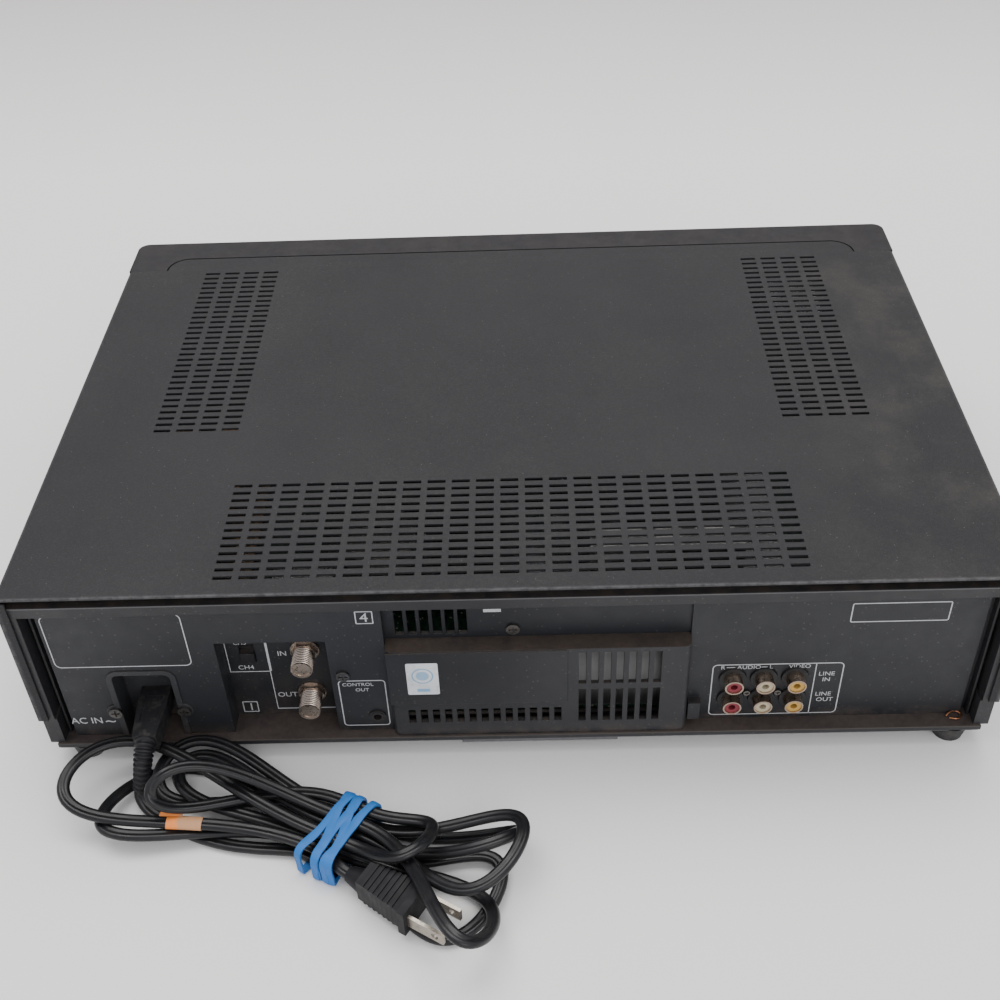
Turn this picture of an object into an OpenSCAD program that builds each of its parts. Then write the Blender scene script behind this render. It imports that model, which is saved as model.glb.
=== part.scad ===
// Video cassette recorder, seen from its front: front towards -Y, back towards +Y.
// Millimetres, Z up. The origin is the middle of the footprint, on the surface it stands on.

/* [Overall] */
// Width across the cover
body_w = 430; // [410:1:460]
// Depth from the front face to the rear edge of the cover
body_d = 294; // [288:1:330]
// Height from the floor to the top of the cover
body_h = 105; // [103:1:130]
// Height of the feet
foot_h = 9; // [6:0.5:14]
// Radius of a foot where it meets the bottom plate
foot_r = 8.8; // [6:0.2:11]
// Distance from the side of the cover to the middle of a foot
foot_inset = 15.7; // [14:0.1:30]

/* [Cover] */
// Thickness of the cover sheet
cover_t = 1; // [0.6:0.1:1.6]
// Height of the cover's side walls
cover_side_h = 76.4; // [60:0.2:86]
// Outer radius of the cover's long folds
cover_fold_r = 2.5; // [2:0.1:5]
// Width of the tongue that reaches into the front bezel
tongue_w = 385; // [340:1:395]
// How far the tongue reaches past the side seams
tongue_l = 12; // [8:0.5:16]
// Corner radius of the tongue
tongue_r = 11; // [4:0.5:12]
// Width of the groove between the tongue and the bezel
tongue_gap = 0.9; // [0.1:0.1:1.5]
// Length of a ventilation slot
slot_l = 8; // [6:0.1:9]
// Width of a ventilation slot
slot_w = 1.9; // [1:0.1:2.6]
// Spacing of the slots across the cover
slot_pitch_x = 10.95; // [10:0.05:12]
// Spacing of the slots along the cover
slot_pitch_y = 5; // [4:0.1:5.4]
// Columns in the rear field of slots
rear_cols = 23; // [5:1:25]
// Rows in the rear field of slots
rear_rows = 13; // [4:1:14]
// Columns in each side field of slots
side_cols = 4; // [2:1:4]
// Rows in each side field of slots
side_rows = 30; // [8:1:30]
// Middle of a side field, from the middle of the cover
side_field_x = 149.8; // [146:0.1:160]
// Distance from the rear edge to the last row of the rear field
rear_field_gap = 9.7; // [6:0.1:16]
// Distance from the side seams to the first row of the side fields
side_field_gap = 4; // [3:0.1:10]

/* [Chassis] */
// Thickness of the bottom plate
plate_t = 1; // [0.6:0.1:2]
// Thickness of the moulded floor
floor_t = 2.4; // [1.6:0.1:3]
// Distance from the side of the cover to the edge of the floor
floor_inset = 4.6; // [4:0.1:8]
// Thickness of the moulded side walls
wall_t = 2.5; // [1.6:0.1:3]
// Width of the skirt under the side walls
skirt_w = 6.7; // [5:0.1:9]
// Height of the skirt
skirt_h = 16.2; // [8:0.2:20]
// Height of the bar across the top of the back
bar_h = 5.5; // [3:0.1:8]
// Gap between the cover and that bar
bar_gap = 5.5; // [4:0.1:7]
// Width of the dark channel at each end of the rear panel
channel_w = 5.5; // [3:0.1:7]
// Width of the tab on the rear edge of the bottom plate
tab_w = 71; // [40:1:100]
// Middle of that tab, from the middle of the body
tab_x = -11; // [-30:1:30]

/* [Rear panel] */
// Wall of the rear panel
panel_t = 2; // [1.4:0.1:2.4]
// Distance from the cover's rear edge to the outer parts of the panel
plane_outer = 5; // [3:0.1:7]
// Distance from the cover's rear edge to the part with the phono sockets
plane_phono = 8; // [7.5:0.1:9]
// Distance from the cover's rear edge to the part over the vent housing
plane_shelf = 9.7; // [9.2:0.1:11]
// Distance from the cover's rear edge to the aerial recess
plane_rf = 16; // [14:0.1:18]
// Distance from the cover's rear edge to the back of the mains recess
plane_ac = 17; // [15:0.1:19]
// Distance from the cover's rear edge to the face of the vent housing
plane_box = 1.1; // [0.8:0.1:2]
// Width of the aerial recess
rf_w = 48.2; // [46:0.1:52]
// Height of the aerial recess
rf_h = 58.9; // [50:0.1:64]
// Left edge of the vent housing
box_x0 = -77.3; // [-79:0.1:-74]
// Right edge of the vent housing
box_x1 = 55.3; // [54:0.1:56]
// Height of the vent housing
box_h = 55.1; // [54:0.1:60]
// Distance from the side of the cover to the mains recess
ac_inset = 37; // [34:0.1:39]
// Width of the mains recess
ac_w = 26; // [25:0.1:27]
// Height of the mains recess
ac_h = 40.3; // [36:0.1:46]
// Slots in the lower row of the vent housing
low_vents = 13; // [5:1:13]
// Slots in each row at the end of the vent housing
end_vents = 7; // [3:1:7]
// Width of a slot in the vent housing
vent_w = 3.2; // [2:0.1:3.8]
// Spacing of the slots in the vent housing
vent_pitch = 5.45; // [5:0.05:5.6]
// Openings in the louvre beside the vent housing
louvre_slots = 6; // [3:1:6]
// Width of an opening in the louvre
louvre_w = 3.9; // [2:0.1:4.4]

/* [Sockets] */
// Outer radius of an aerial socket
rf_r = 4.7; // [4.5:0.05:4.8]
// Length of an aerial socket outside the panel
rf_l = 13.3; // [10:0.1:15]
// Distance from the left edge of the aerial recess to its sockets
rf_socket = 11.9; // [10:0.1:14]
// Heights of the two aerial sockets
rf_z = [55.5, 27.8];
// Outer radius of a phono socket
phono_r = 4.15; // [4.1:0.01:4.2]
// Length of a phono socket outside its base
phono_l = 6.6; // [5:0.1:7.5]
// Positions of the phono sockets across the panel
phono_x = [-97.3, -111.1, -124.9];
// Heights of the phono sockets
phono_z = [39.5, 26.2];
// Bore of the control socket
jack_r = 1.8; // [1.75:0.01:1.85]
// Distance from the vent housing to the control socket
jack_gap = 7.1; // [6.5:0.1:9]
// Height of the control socket
jack_z = 22; // [21.8:0.1:26]
// Distance from the left edge of the mains recess to the middle of the inlet
inlet_in = 12; // [11:0.1:13]
// Height of the middle of the mains inlet
inlet_z = 27.5; // [26:0.1:29]
// Head radius of a screw
screw_r = 3; // [2.4:0.1:3.2]
// Height of a screw head
screw_h = 1.4; // [0.8:0.1:1.8]

/* [Front] */
// Depth of the bezel at its sides
bezel_d = 30.5; // [28:0.1:34]
// Wall of the bezel
bezel_t = 3; // [2.8:0.1:3.6]
// Corner radius of the bezel seen from above
bezel_r = 6; // [2:0.1:10]
// Gap between moving front pieces and the bezel
gap = 0.4; // [0.3:0.05:0.6]
// Middle of the cassette slot, from the middle of the body
deck_x = -20; // [-24:0.5:-16]
// Width of the cassette slot
door_w = 197; // [194:0.5:200]
// Height of the cassette slot
door_h = 29; // [28:0.1:30]
// Distance from the top of the cover to the cassette slot
door_drop = 10; // [9.5:0.1:12]
// Thickness of the cassette door
door_t = 2.6; // [2.4:0.1:2.8]
// Height of the display window
window_h = 20; // [14:0.5:22]
// Gap between the display window and the cassette slot
window_gap = 6; // [5:0.5:8]
// Gap between the fold-down control door and the display window
flap_gap = 5.5; // [4:0.5:8]
// Height of the lower edge of the control door
flap_z = 13.5; // [13:0.1:15]
// Thickness of the control door
flap_t = 2.6; // [2.4:0.1:2.8]
// Width of a transport button
key_w = 25.5; // [18:0.5:26]
// Height of a transport button
key_h = 10; // [8:0.5:12]
// Gap between transport buttons
key_gap = 3; // [2.5:0.1:5]
// Distance from the top of the cover to the middle of the button rows
key_drop = 17; // [14:0.5:18]
// Travel of a button
key_travel = 1.5; // [0.8:0.1:2]
// Width of the power button
power_w = 32; // [20:0.5:36]
// Distance from the side of the body to the outer buttons
key_inset = 9; // [8:0.5:16]
// Outer radius of the shuttle ring
ring_r = 28; // [24:0.5:29]
// Radius of the jog dial
jog_r = 19; // [14:0.5:20]
// Middle of the jog dial, from the middle of the body
jog_x = 150; // [146:0.5:160]
// How far the jog dial lies below the middle of its field
jog_drop = 2; // [1:0.5:2.5]

/* [Mechanism] */
// Width of the deck plate
deck_w = 226; // [224:1:230]
// Height of the deck plate above the floor inside
deck_lift = 23.6; // [23:0.1:26]
// Thickness of the deck plate
deck_t = 1.5; // [1:0.1:2]
// Radius of the head drum
drum_r = 31; // [28:0.5:31]
// Distance from the middle of the deck plate to a reel
reel_x = 46; // [44:0.5:48]
// Position of the reels from front to back
reel_y = -77; // [-80:0.5:-74]
// Radius of a reel table
reel_r = 20; // [16:0.5:22]
// Radius of a reel hub
hub_r = 8; // [6:0.5:10]
// Radius of the capstan shaft
capstan_r = 1.5; // [1.2:0.1:2]
// Radius of the flywheel
flywheel_r = 17; // [12:0.5:19]
// Radius of the pinch roller
pinch_r = 6.5; // [5:0.1:7]
// Width inside the cassette cage
cage_w = 190; // [189:0.5:192]
// Length of the cassette cage
cage_l = 61; // [50:0.5:64]
// Height inside the cassette cage
cage_h = 27; // [26:0.1:27.5]
// How far the cage travels inwards
cage_in = 30; // [20:0.5:32]
// How far the cage travels down
cage_down = 20; // [15:0.5:20]
// Radius of the cam gear
cam_r = 18; // [14:0.5:18.5]
// Teeth on the cam gear
cam_teeth = 36; // [24:1:40]
// Radial clearance of shafts that turn in bores
run = 0.05; // [0.02:0.01:0.09]

/* [Cord] */
// Width of the flat twin lead
cord_w = 5.8; // [5:0.1:6.5]
// Thickness of the flat twin lead
cord_t = 3.3; // [2.8:0.1:3.6]
// Loops at each end of the hank
hank_loops = 5; // [3:1:5]
// Ribs of the strain relief
relief_ribs = 10; // [4:1:12]
// Wraps of the rubber band
band_wraps = 5; // [2:1:6]

/* [Hidden] */
e = 0.01;
half_w = body_w / 2;
half_d = body_d / 2;
back_y = half_d;
front_y = -half_d;
seam_y = front_y + bezel_d;
tongue_y = seam_y - tongue_l;
plate_z = foot_h;
floor_z = foot_h + plate_t;
in_z = floor_z + floor_t;
cover_in = half_w - cover_t;
cover_low = body_h - cover_side_h;
flange_w = 4.6;
floor_x = half_w - floor_inset;

// Planes of the rear panel, as positions along Y.
y_outer = back_y - plane_outer;
y_phono = back_y - plane_phono;
y_shelf = back_y - plane_shelf;
y_rf = back_y - plane_rf;
y_ac = back_y - plane_ac;
y_box = back_y - plane_box;
y_bar = back_y - 1.2;
bar_z1 = body_h - cover_t - bar_gap;
bar_z0 = bar_z1 - bar_h;
strip_x0 = floor_x - 2.4;
panel_x = strip_x0 - channel_w;
ac_x1 = half_w - ac_inset;
ac_x0 = ac_x1 - ac_w;
inlet_x = ac_x0 + inlet_in;
rf_x0 = (box_x1 + ac_x0 - rf_w) / 2 + 1.25;
rf_x1 = rf_x0 + rf_w;
rf_x = rf_x0 + rf_socket;
jack_x = box_x1 + jack_gap;
ac_z1 = in_z + ac_h;
rf_z1 = in_z + rf_h;
box_z1 = in_z + box_h;

// Front openings.
bezel_x = half_w - 0.3;
key_y = front_y + bezel_t;
key_z = body_h - key_drop;
jog_z = (floor_z + key_z) / 2 - jog_drop;
door_z = body_h - door_drop - door_h;
window_z = door_z - window_gap - window_h;
flap_h = window_z - flap_gap - flap_z;
door_x0 = deck_x - door_w / 2;
door_x1 = deck_x + door_w / 2;
door_z1 = door_z + door_h;
pin_r = 0.8;
door_axis_y = front_y + door_t / 2;
door_axis_z = door_z1 - gap - door_t / 2;
flap_axis_y = front_y + flap_t / 2;
flap_axis_z = flap_z + flap_t / 2 + gap;
pocket_y = front_y + 9;
power_x = -half_w + key_inset + power_w / 2;
eject_x = power_x + power_w + 2 * key_gap;
function key_x(i) = half_w - key_inset - key_w / 2 - i * (key_w + key_gap);
small_w = 16;
small_h = 7;
small_z = flap_z + flap_h / 2;
function small_x(i) = deck_x + (i - 1.5) * 36;
ring_y = front_y + 7;
shaft_r = 3;
tube_r = 5;
board2_y = front_y + 17;
board2_t = 1.6;

// Levels inside.
boss_h = 4;
board_z = in_z + boss_h;
board_t = 1.6;
on_board = board_z + board_t;
deck_z = in_z + deck_lift;
deck_top = deck_z + deck_t;
deck_y0 = -112;
deck_y1 = 74;
post_r = 4.5;
deck_posts = [[-deck_w / 2 + 6, deck_y0 + 6], [deck_w / 2 - 6, deck_y0 + 6],
              [-deck_w / 2 + 6, deck_y1 - 6], [deck_w / 2 - 6, deck_y1 - 6]];
inner_x = half_w - 10;
power_x0 = inner_x - 69;
boss_in = 9;
boss_x = inner_x - boss_in;
board_bosses = [[-boss_x, -96], [-boss_x, 10], [-boss_x, 112], [20, -96], [10, 112], [70, 112]];
power_bosses = [[power_x0 + 6, -52], [inner_x - 6, -52], [power_x0 + 6, 118], [inner_x - 6, 100]];
boss_r = 3;
drum_x = deck_x - 5;
drum_y = 38;
drum_low = 18.5;
drum_gap = 0.4;
drum_up = 20;
spindle_r = 3;
flywheel_z = on_board + 9;
flywheel_t = 6;
fit = 0.3;
arm_x = deck_x + 88;
arm_y = 14;
arm_l = 21.5;
arm_rest = 254.8;
arm_turn = 24;
roller_x = arm_x + arm_l * cos(arm_rest);
roller_y = arm_y + arm_l * sin(arm_rest);
nip = capstan_r + pinch_r + fit;
capstan_x = arm_x + arm_l * cos(arm_rest - arm_turn) + nip * cos(219.8);
capstan_y = arm_y + arm_l * sin(arm_rest - arm_turn) + nip * sin(219.8);
cam_x = deck_x + 88;
tooth_h = 1.2;
cam_y = arm_y + 26;
pinion_r = 3;
pinion_x = cam_x - cam_r - tooth_h - pinion_r - fit;

// The cage that takes a cassette and the slider that carries it.
cage_t = 1;
cage_out = cage_w / 2 + cage_t;
cage_y1 = -48;
cage_y0 = cage_y1 - cage_l;
cage_z0 = door_z + 1;
cage_z1 = cage_z0 + cage_h + 2 * cage_t;
slide_t = 1.5;
slide_x0 = cage_out + 0.5;
slide_x1 = slide_x0 + slide_t;
bracket_x0 = slide_x1 + 0.5;
bracket_t = 1.5;
guide_r = 1.5;
guide_y = [cage_y0 + 19, cage_y1 - 14];
guide_z = cage_z0 + 13;
slider_z0 = cage_z0 - 13;

// Sockets.
plug_w = 13.4;
plug_h = 9;
plug_end = back_y + 12.5;
clip_x = box_x0 - 0.6;

module box(x0, x1, y0, y1, z0, z1) {
    translate([x0, y0, z0]) cube([x1 - x0, y1 - y0, z1 - z0]);
}

module rod_x(y, z, x0, x1, r) {
    translate([x0, y, z]) rotate([0, 90, 0]) cylinder(r = r, h = x1 - x0, $fn = 48);
}

module rod_y(x, z, y0, y1, r) {
    translate([x, y0, z]) rotate([-90, 0, 0]) cylinder(r = r, h = y1 - y0, $fn = 48);
}

module rod_z(x, y, z0, z1, r) {
    translate([x, y, z0]) cylinder(r = r, h = z1 - z0, $fn = 48);
}

// Extrudes an outline drawn in X and Z from y0 to y1.
module across(y0, y1) {
    translate([0, y1, 0]) rotate([90, 0, 0]) linear_extrude(y1 - y0) children();
}

// A rectangle with round corners.
module round_rect(x0, x1, y0, y1, r) {
    translate([x0 + r, y0]) square([x1 - x0 - 2 * r, y1 - y0]);
    translate([x0, y0 + r]) square([x1 - x0, y1 - y0 - 2 * r]);
    for (x = [x0 + r, x1 - r], y = [y0 + r, y1 - r]) translate([x, y]) circle(r, $fn = 32);
}

// The tongue of the cover, grown by g all round.
module tongue(g) {
    r = min(tongue_r, tongue_l - 0.5) + g;
    w = tongue_w / 2 + g;
    y = tongue_y - g;
    translate([-w + r, y]) square([2 * (w - r), seam_y - y + 1]);
    translate([-w, y + r]) square([2 * w, seam_y - y - r + 1]);
    for (s = [-1, 1]) translate([s * (w - r), y + r]) circle(r, $fn = 48);
}

module slot(x, y) {
    translate([x - slot_l / 2, y - slot_w / 2]) square([slot_l, slot_w]);
}

module cover_slots() {
    for (i = [0 : rear_cols - 1], j = [0 : rear_rows - 1])
        slot((i - (rear_cols - 1) / 2) * slot_pitch_x,
             back_y - rear_field_gap - slot_w / 2 - j * slot_pitch_y);
    for (s = [-1, 1], i = [0 : side_cols - 1], j = [0 : side_rows - 1])
        slot(s * (side_field_x + (i - (side_cols - 1) / 2) * slot_pitch_x),
             seam_y + side_field_gap + slot_w / 2 + j * slot_pitch_y);
}

module cover_side() {
    r = cover_fold_r;
    across(seam_y, back_y) {
        translate([half_w - cover_t, cover_low]) square([cover_t, body_h - r - cover_low]);
        translate([half_w - r, body_h - r]) intersection() {
            difference() {
                circle(r, $fn = 32);
                circle(r - cover_t, $fn = 32);
            }
            square([r, r]);
        }
    }
    box(half_w - flange_w, half_w - cover_t / 2, back_y - cover_t, back_y,
        cover_low, body_h - r);
}

module top_cover() color("#2b2b2d") {
    translate([0, 0, body_h - cover_t]) linear_extrude(cover_t) difference() {
        union() {
            x = half_w - cover_fold_r;
            translate([-x, seam_y]) square([2 * x, back_y - seam_y]);
            tongue(0);
        }
        cover_slots();
    }
    cover_side();
    mirror([1, 0, 0]) cover_side();
}

bottom_y = front_y + 19;
wall_x1 = cover_in;
wall_x0 = wall_x1 - wall_t;
skirt_x1 = half_w - 1.3;
skirt_z1 = min(in_z + skirt_h, cover_low - fit);
post_y = y_bar - 11.8;
rib_w = 1;

module chassis_side() {
    box(skirt_x1 - skirt_w, skirt_x1, bottom_y, y_bar, in_z, skirt_z1);
    box(wall_x0, wall_x1, seam_y, y_bar, skirt_z1 + fit, bar_z1 - 2);
    box(wall_x0, skirt_x1, seam_y, y_bar, skirt_z1 - 2, skirt_z1 + 2);
    box(strip_x0, skirt_x1, post_y, y_bar, in_z, bar_z1);
    box(panel_x, strip_x0, post_y, post_y + 2, in_z, bar_z1);
    box(panel_x + channel_w / 2, panel_x + channel_w / 2 + rib_w, post_y, post_y + 6,
        in_z, bar_z1);
}

module chassis_frame() color("#1d1e20") {
    box(-floor_x, floor_x, bottom_y, back_y, floor_z, in_z);
    chassis_side();
    mirror([1, 0, 0]) chassis_side();
    box(-strip_x0, strip_x0, post_y, y_bar, bar_z0, bar_z1);
    for (p = deck_posts) rod_z(deck_x + p[0], p[1], in_z, deck_z, post_r);
    for (p = board_bosses) rod_z(p[0], p[1], in_z, board_z, boss_r);
    for (p = power_bosses) rod_z(p[0], p[1], in_z, board_z, boss_r);
}

module bottom_plate() color("#3a3b3d") {
    box(-floor_x + 0.6, floor_x - 0.6, bottom_y, back_y - 0.6, plate_z, floor_z);
    box(tab_x - tab_w / 2, tab_x + tab_w / 2, back_y - 4, back_y - 0.6, plate_z - 1.6, plate_z);
}

foot_taper = 1.8;
foot_x = half_w - foot_inset;
foot_y = [bottom_y + foot_r + 9, back_y - foot_r];

module feet() color("#151515") {
    for (s = [-1, 1], y = foot_y)
        translate([s * foot_x, y, 0])
            cylinder(r1 = foot_r - foot_taper, r2 = foot_r, h = foot_h, $fn = 48);
}

ac_rim = 2.6;
ac_wall = 1.6;
ac_ear = 4.2;
ac_ear_z = in_z + 16.6;

module ac_shape(g) {
    r = 3 + g;
    x0 = ac_x0 - g;
    x1 = ac_x1 + g;
    z1 = ac_z1 + g;
    translate([x0, in_z]) square([x1 - x0, z1 - r - in_z]);
    translate([x0 + r, in_z]) square([x1 - x0 - 2 * r, z1 - in_z]);
    for (x = [x0 + r, x1 - r]) translate([x, z1 - r]) circle(r, $fn = 32);
}

module stadium(w, h) {
    square([w - h, h], center = true);
    for (s = [-1, 1]) translate([s * (w - h) / 2, 0]) circle(h / 2, $fn = 40);
}

louvre_z = [box_z1 + 2.2, bar_z0 - 8.6];
phono_base = 6;
phono_step = 1.2;
jack_neck = 3;
switch_x = rf_x1 - 10.2;
switch_w = 6.3;
switch_z0 = in_z + 35.4;
switch_h = 11;
knob_h = 6;
jack_post_r = 4;

module rear_panel() color("#222427") {
    t = panel_t;
    difference() {
        union() {
            box(-panel_x, box_x0, y_phono - t, y_phono, in_z, bar_z0);
            box(box_x0 - t, box_x1, y_shelf - t, y_shelf, in_z, bar_z0);
            box(box_x0 - t, box_x0, y_shelf - t, y_phono, in_z, bar_z0);
            box(box_x1, box_x1 + t, y_shelf - t, y_outer, in_z, bar_z0);
            box(box_x1, panel_x, y_outer - t, y_outer, in_z, bar_z0);
            box(rf_x0 - t, rf_x1 + t, y_rf - t, y_outer, in_z, rf_z1 + t);
            box(clip_x - 5.5, clip_x, y_phono - 0.5, y_phono + 4, in_z + 4, in_z + 14.6);
        }
        box(rf_x0, rf_x1, y_rf, y_outer + 1, in_z - 1, rf_z1);
        across(y_outer - t - 1, y_outer + 1) ac_shape(ac_wall);
        box(box_x0 + 5, box_x1 - 5, y_shelf - t - 1, y_shelf + 1, in_z + 4, box_z1 - 6);
        for (i = [0 : louvre_slots - 1])
            box(box_x1 - 6.6 - louvre_w / 2 - i * 5.5, box_x1 - 6.6 + louvre_w / 2 - i * 5.5,
                y_shelf - t - 1, y_shelf + 1, louvre_z[0], louvre_z[1]);
        for (z = rf_z) rod_y(rf_x, z, y_rf - t - 1, y_rf + 1, jack_post_r + 0.1);
        for (x = phono_x, z = phono_z)
            rod_y(x, z, y_phono - t - 1, y_phono + 1, phono_base + 0.1);
        rod_y(jack_x, jack_z, y_outer - t - 1, y_outer + 1, jack_neck + 0.1);
        box(switch_x - switch_w / 2 - 0.3, switch_x + switch_w / 2 + 0.3,
            y_rf - t - 1, y_rf + 1, switch_z0, switch_z0 + switch_h);
    }
}

module vent_slots(y0, y1) {
    for (i = [0 : low_vents - 1])
        box(box_x1 - 9.2 - vent_w / 2 - i * vent_pitch, box_x1 - 9.2 + vent_w / 2 - i * vent_pitch,
            y0, y1, in_z + 8.6, in_z + 17.5);
    for (i = [0 : end_vents - 1], z = [in_z + 8, in_z + 32.8])
        box(box_x0 + 14.4 - vent_w / 2 + i * vent_pitch, box_x0 + 14.4 + vent_w / 2 + i * vent_pitch,
            y0, y1, z, z + (z > in_z + 20 ? box_z1 - 2.4 - z : 21.2));
}

module rear_vent_box() color("#1f2123") {
    t = panel_t;
    x0 = box_x0 + 0.1;
    x1 = box_x1 - 0.1;
    difference() {
        union() {
            translate([0, 0, in_z]) linear_extrude(box_h) difference() {
                round_rect(x0, x1, y_shelf - 6, y_box, 3);
                translate([x0 - 1, y_shelf - 8]) square([x1 - x0 + 2, 8]);
            }
            box(box_x0 + 53.7, x1 - 0.2, y_box - 0.1, y_box + 0.6, in_z + 21.6, box_z1 - 0.5);
        }
        box(x0 + t, x1 - t, y_shelf - 1, y_box - t, in_z + 2, box_z1 - t);
        vent_slots(y_box - t - 1, y_box + 2);
    }
}

key_cap = bezel_t + 0.4;
key_lip = 1.5;
lip_t = 1.2;
stem_y = board2_y - 6;

// A rectangular button in the front wall, with the flange that keeps it in.
module key(x, z, w, h, y0) {
    box(x - w / 2 + gap, x + w / 2 - gap, y0, y0 + key_cap + lip_t, z - h / 2 + gap, z + h / 2 - gap);
    box(x - w / 2 - key_lip, x + w / 2 + key_lip, y0 + key_cap, y0 + key_cap + lip_t,
        z - h / 2 - key_lip, z + h / 2 + key_lip);
    rod_y(x, z, y0 + key_cap + lip_t, y0 + key_cap + lip_t + 2, 2);
}

small_y = pocket_y - 3;
small_cap = 4.9;

module small_key(i) {
    x = small_x(i);
    box(x - small_w / 2 + gap, x + small_w / 2 - gap, small_y, small_y + small_cap + 1,
        small_z - small_h / 2 + gap, small_z + small_h / 2 - gap);
    box(x - small_w / 2 - 1, x + small_w / 2 + 1, small_y + small_cap, small_y + small_cap + 1,
        small_z - small_h / 2 - 1, small_z + small_h / 2 + 1);
}

module power_button() color("#2a2b2e") key(power_x, key_z, power_w, key_h, front_y);
module eject_button() color("#2a2b2e") key(eject_x, key_z, power_w, key_h, front_y);
module play_button() color("#2a2b2e") key(key_x(3), key_z, key_w, key_h, front_y);
module stop_button() color("#2a2b2e") key(key_x(2), key_z, key_w, key_h, front_y);
module rewind_button() color("#2a2b2e") key(key_x(1), key_z, key_w, key_h, front_y);
module forward_button() color("#2a2b2e") key(key_x(0), key_z, key_w, key_h, front_y);
module pause_button() color("#2a2b2e") small_key(0);
module record_button() color("#2a2b2e") small_key(1);
module channel_down_button() color("#2a2b2e") small_key(2);
module channel_up_button() color("#2a2b2e") small_key(3);

module key_holes() {
    for (x = [power_x, eject_x])
        box(x - power_w / 2, x + power_w / 2, front_y - 1, front_y + bezel_t + 1,
            key_z - key_h / 2, key_z + key_h / 2);
    for (i = [0 : 3])
        box(key_x(i) - key_w / 2, key_x(i) + key_w / 2, front_y - 1, front_y + bezel_t + 1,
            key_z - key_h / 2, key_z + key_h / 2);
}

post_x = inner_x - 7;
board2_posts = [[-post_x, 22], [-post_x, door_z + 8], [door_x0 - 11.5, window_z + window_h],
                [post_x, 18], [post_x, door_z + 12], [door_x1 + 21.5, 20],
                [door_x1 + 21.5, door_z + 11]];

// Outline of the bezel seen from above, drawn in by g.
module bezel_plan(g) {
    r = max(bezel_r - g, 0.5);
    x = bezel_x - g;
    y = front_y + g;
    translate([-x, y + r]) square([2 * x, seam_y - y - r]);
    translate([-x + r, y]) square([2 * (x - r), r + 1]);
    for (s = [-1, 1]) translate([s * (x - r), y + r]) circle(r, $fn = 48);
}

module front_bezel() color("#232427") {
    t = bezel_t;
    difference() {
        union() {
            difference() {
                translate([0, 0, floor_z]) linear_extrude(body_h - floor_z) bezel_plan(0);
                translate([0, 0, floor_z + t]) linear_extrude(body_h - floor_z - 2 * t + 0.5)
                    union() {
                        bezel_plan(t);
                        translate([-bezel_x + t, seam_y - 1]) square([2 * (bezel_x - t), 2]);
                    }
                translate([0, 0, body_h - cover_t]) linear_extrude(cover_t + 1) tongue(tongue_gap);
                box(-half_w, half_w, bottom_y, seam_y + 1, floor_z - 1, skirt_z1 + 0.3);
            }
            box(door_x0 - 2, door_x1 + 2, front_y + t - 0.5, pocket_y + 1.5, flap_z - 0.2,
                flap_z + flap_h + 1.5);
            for (p = board2_posts) rod_y(p[0], p[1], front_y + t - 0.5, board2_y, 3);
        }
        box(door_x0, door_x1, front_y - 1, front_y + t + 1, door_z, door_z1);
        box(door_x0, door_x1, front_y - 1, front_y + t + 1, window_z, window_z + window_h);
        box(door_x0, door_x1, front_y - 1, pocket_y, flap_z, flap_z + flap_h);
        for (i = [0 : 3])
            box(small_x(i) - small_w / 2, small_x(i) + small_w / 2, pocket_y - 1, pocket_y + 3,
                small_z - small_h / 2, small_z + small_h / 2);
        rod_x(door_axis_y, door_axis_z, door_x0 - 2.8, door_x1 + 2.8, pin_r + run);
        rod_x(flap_axis_y, flap_axis_z, door_x0 - 2.8, door_x1 + 2.8, pin_r + run);
        key_holes();
        rod_y(jog_x, jog_z, front_y - 1, front_y + t + 1, ring_r + gap);
    }
}

module swing_plate(t, z0, z1, axis_z) {
    y = front_y + t / 2;
    box(door_x0 + gap, door_x1 - gap, front_y, front_y + t, min(z0, axis_z), max(z1, axis_z));
    rod_x(y, axis_z, door_x0 + gap, door_x1 - gap, t / 2);
    rod_x(y, axis_z, door_x0 - 2.5, door_x1 + 2.5, pin_r);
}

module cassette_door() color("#2a2b2e")
    swing_plate(door_t, door_z + gap, door_axis_z, door_axis_z);

module control_door() color("#2a2b2e")
    swing_plate(flap_t, flap_axis_z, flap_z + flap_h - gap, flap_axis_z);

module display_window() color("#101418") {
    box(door_x0 + 0.1, door_x1 - 0.1, front_y, front_y + bezel_t,
        window_z + 0.1, window_z + window_h - 0.1);
    box(door_x0 - 3, door_x1 + 3, front_y + bezel_t, front_y + bezel_t + 1.5,
        window_z - 2, window_z + window_h + 2);
}

dial_t = 6;
ring_back = 1.5;

module jog_dial() color("#303236") {
    difference() {
        rod_y(jog_x, jog_z, front_y, front_y + dial_t, jog_r);
        translate([jog_x + jog_r * 0.6, front_y - 1, jog_z]) sphere(r = 4, $fn = 32);
    }
    rod_y(jog_x, jog_z, front_y + dial_t, board2_y + board2_t, shaft_r);
}

module shuttle_ring() color("#26272a") difference() {
    union() {
        rod_y(jog_x, jog_z, front_y, front_y + dial_t + fit + ring_back, ring_r);
        rod_y(jog_x, jog_z, front_y + dial_t + fit, board2_y - 1, tube_r);
    }
    rod_y(jog_x, jog_z, front_y - 1, front_y + dial_t + fit, jog_r + gap);
    rod_y(jog_x, jog_z, front_y, board2_y, shaft_r + run);
}

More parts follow.
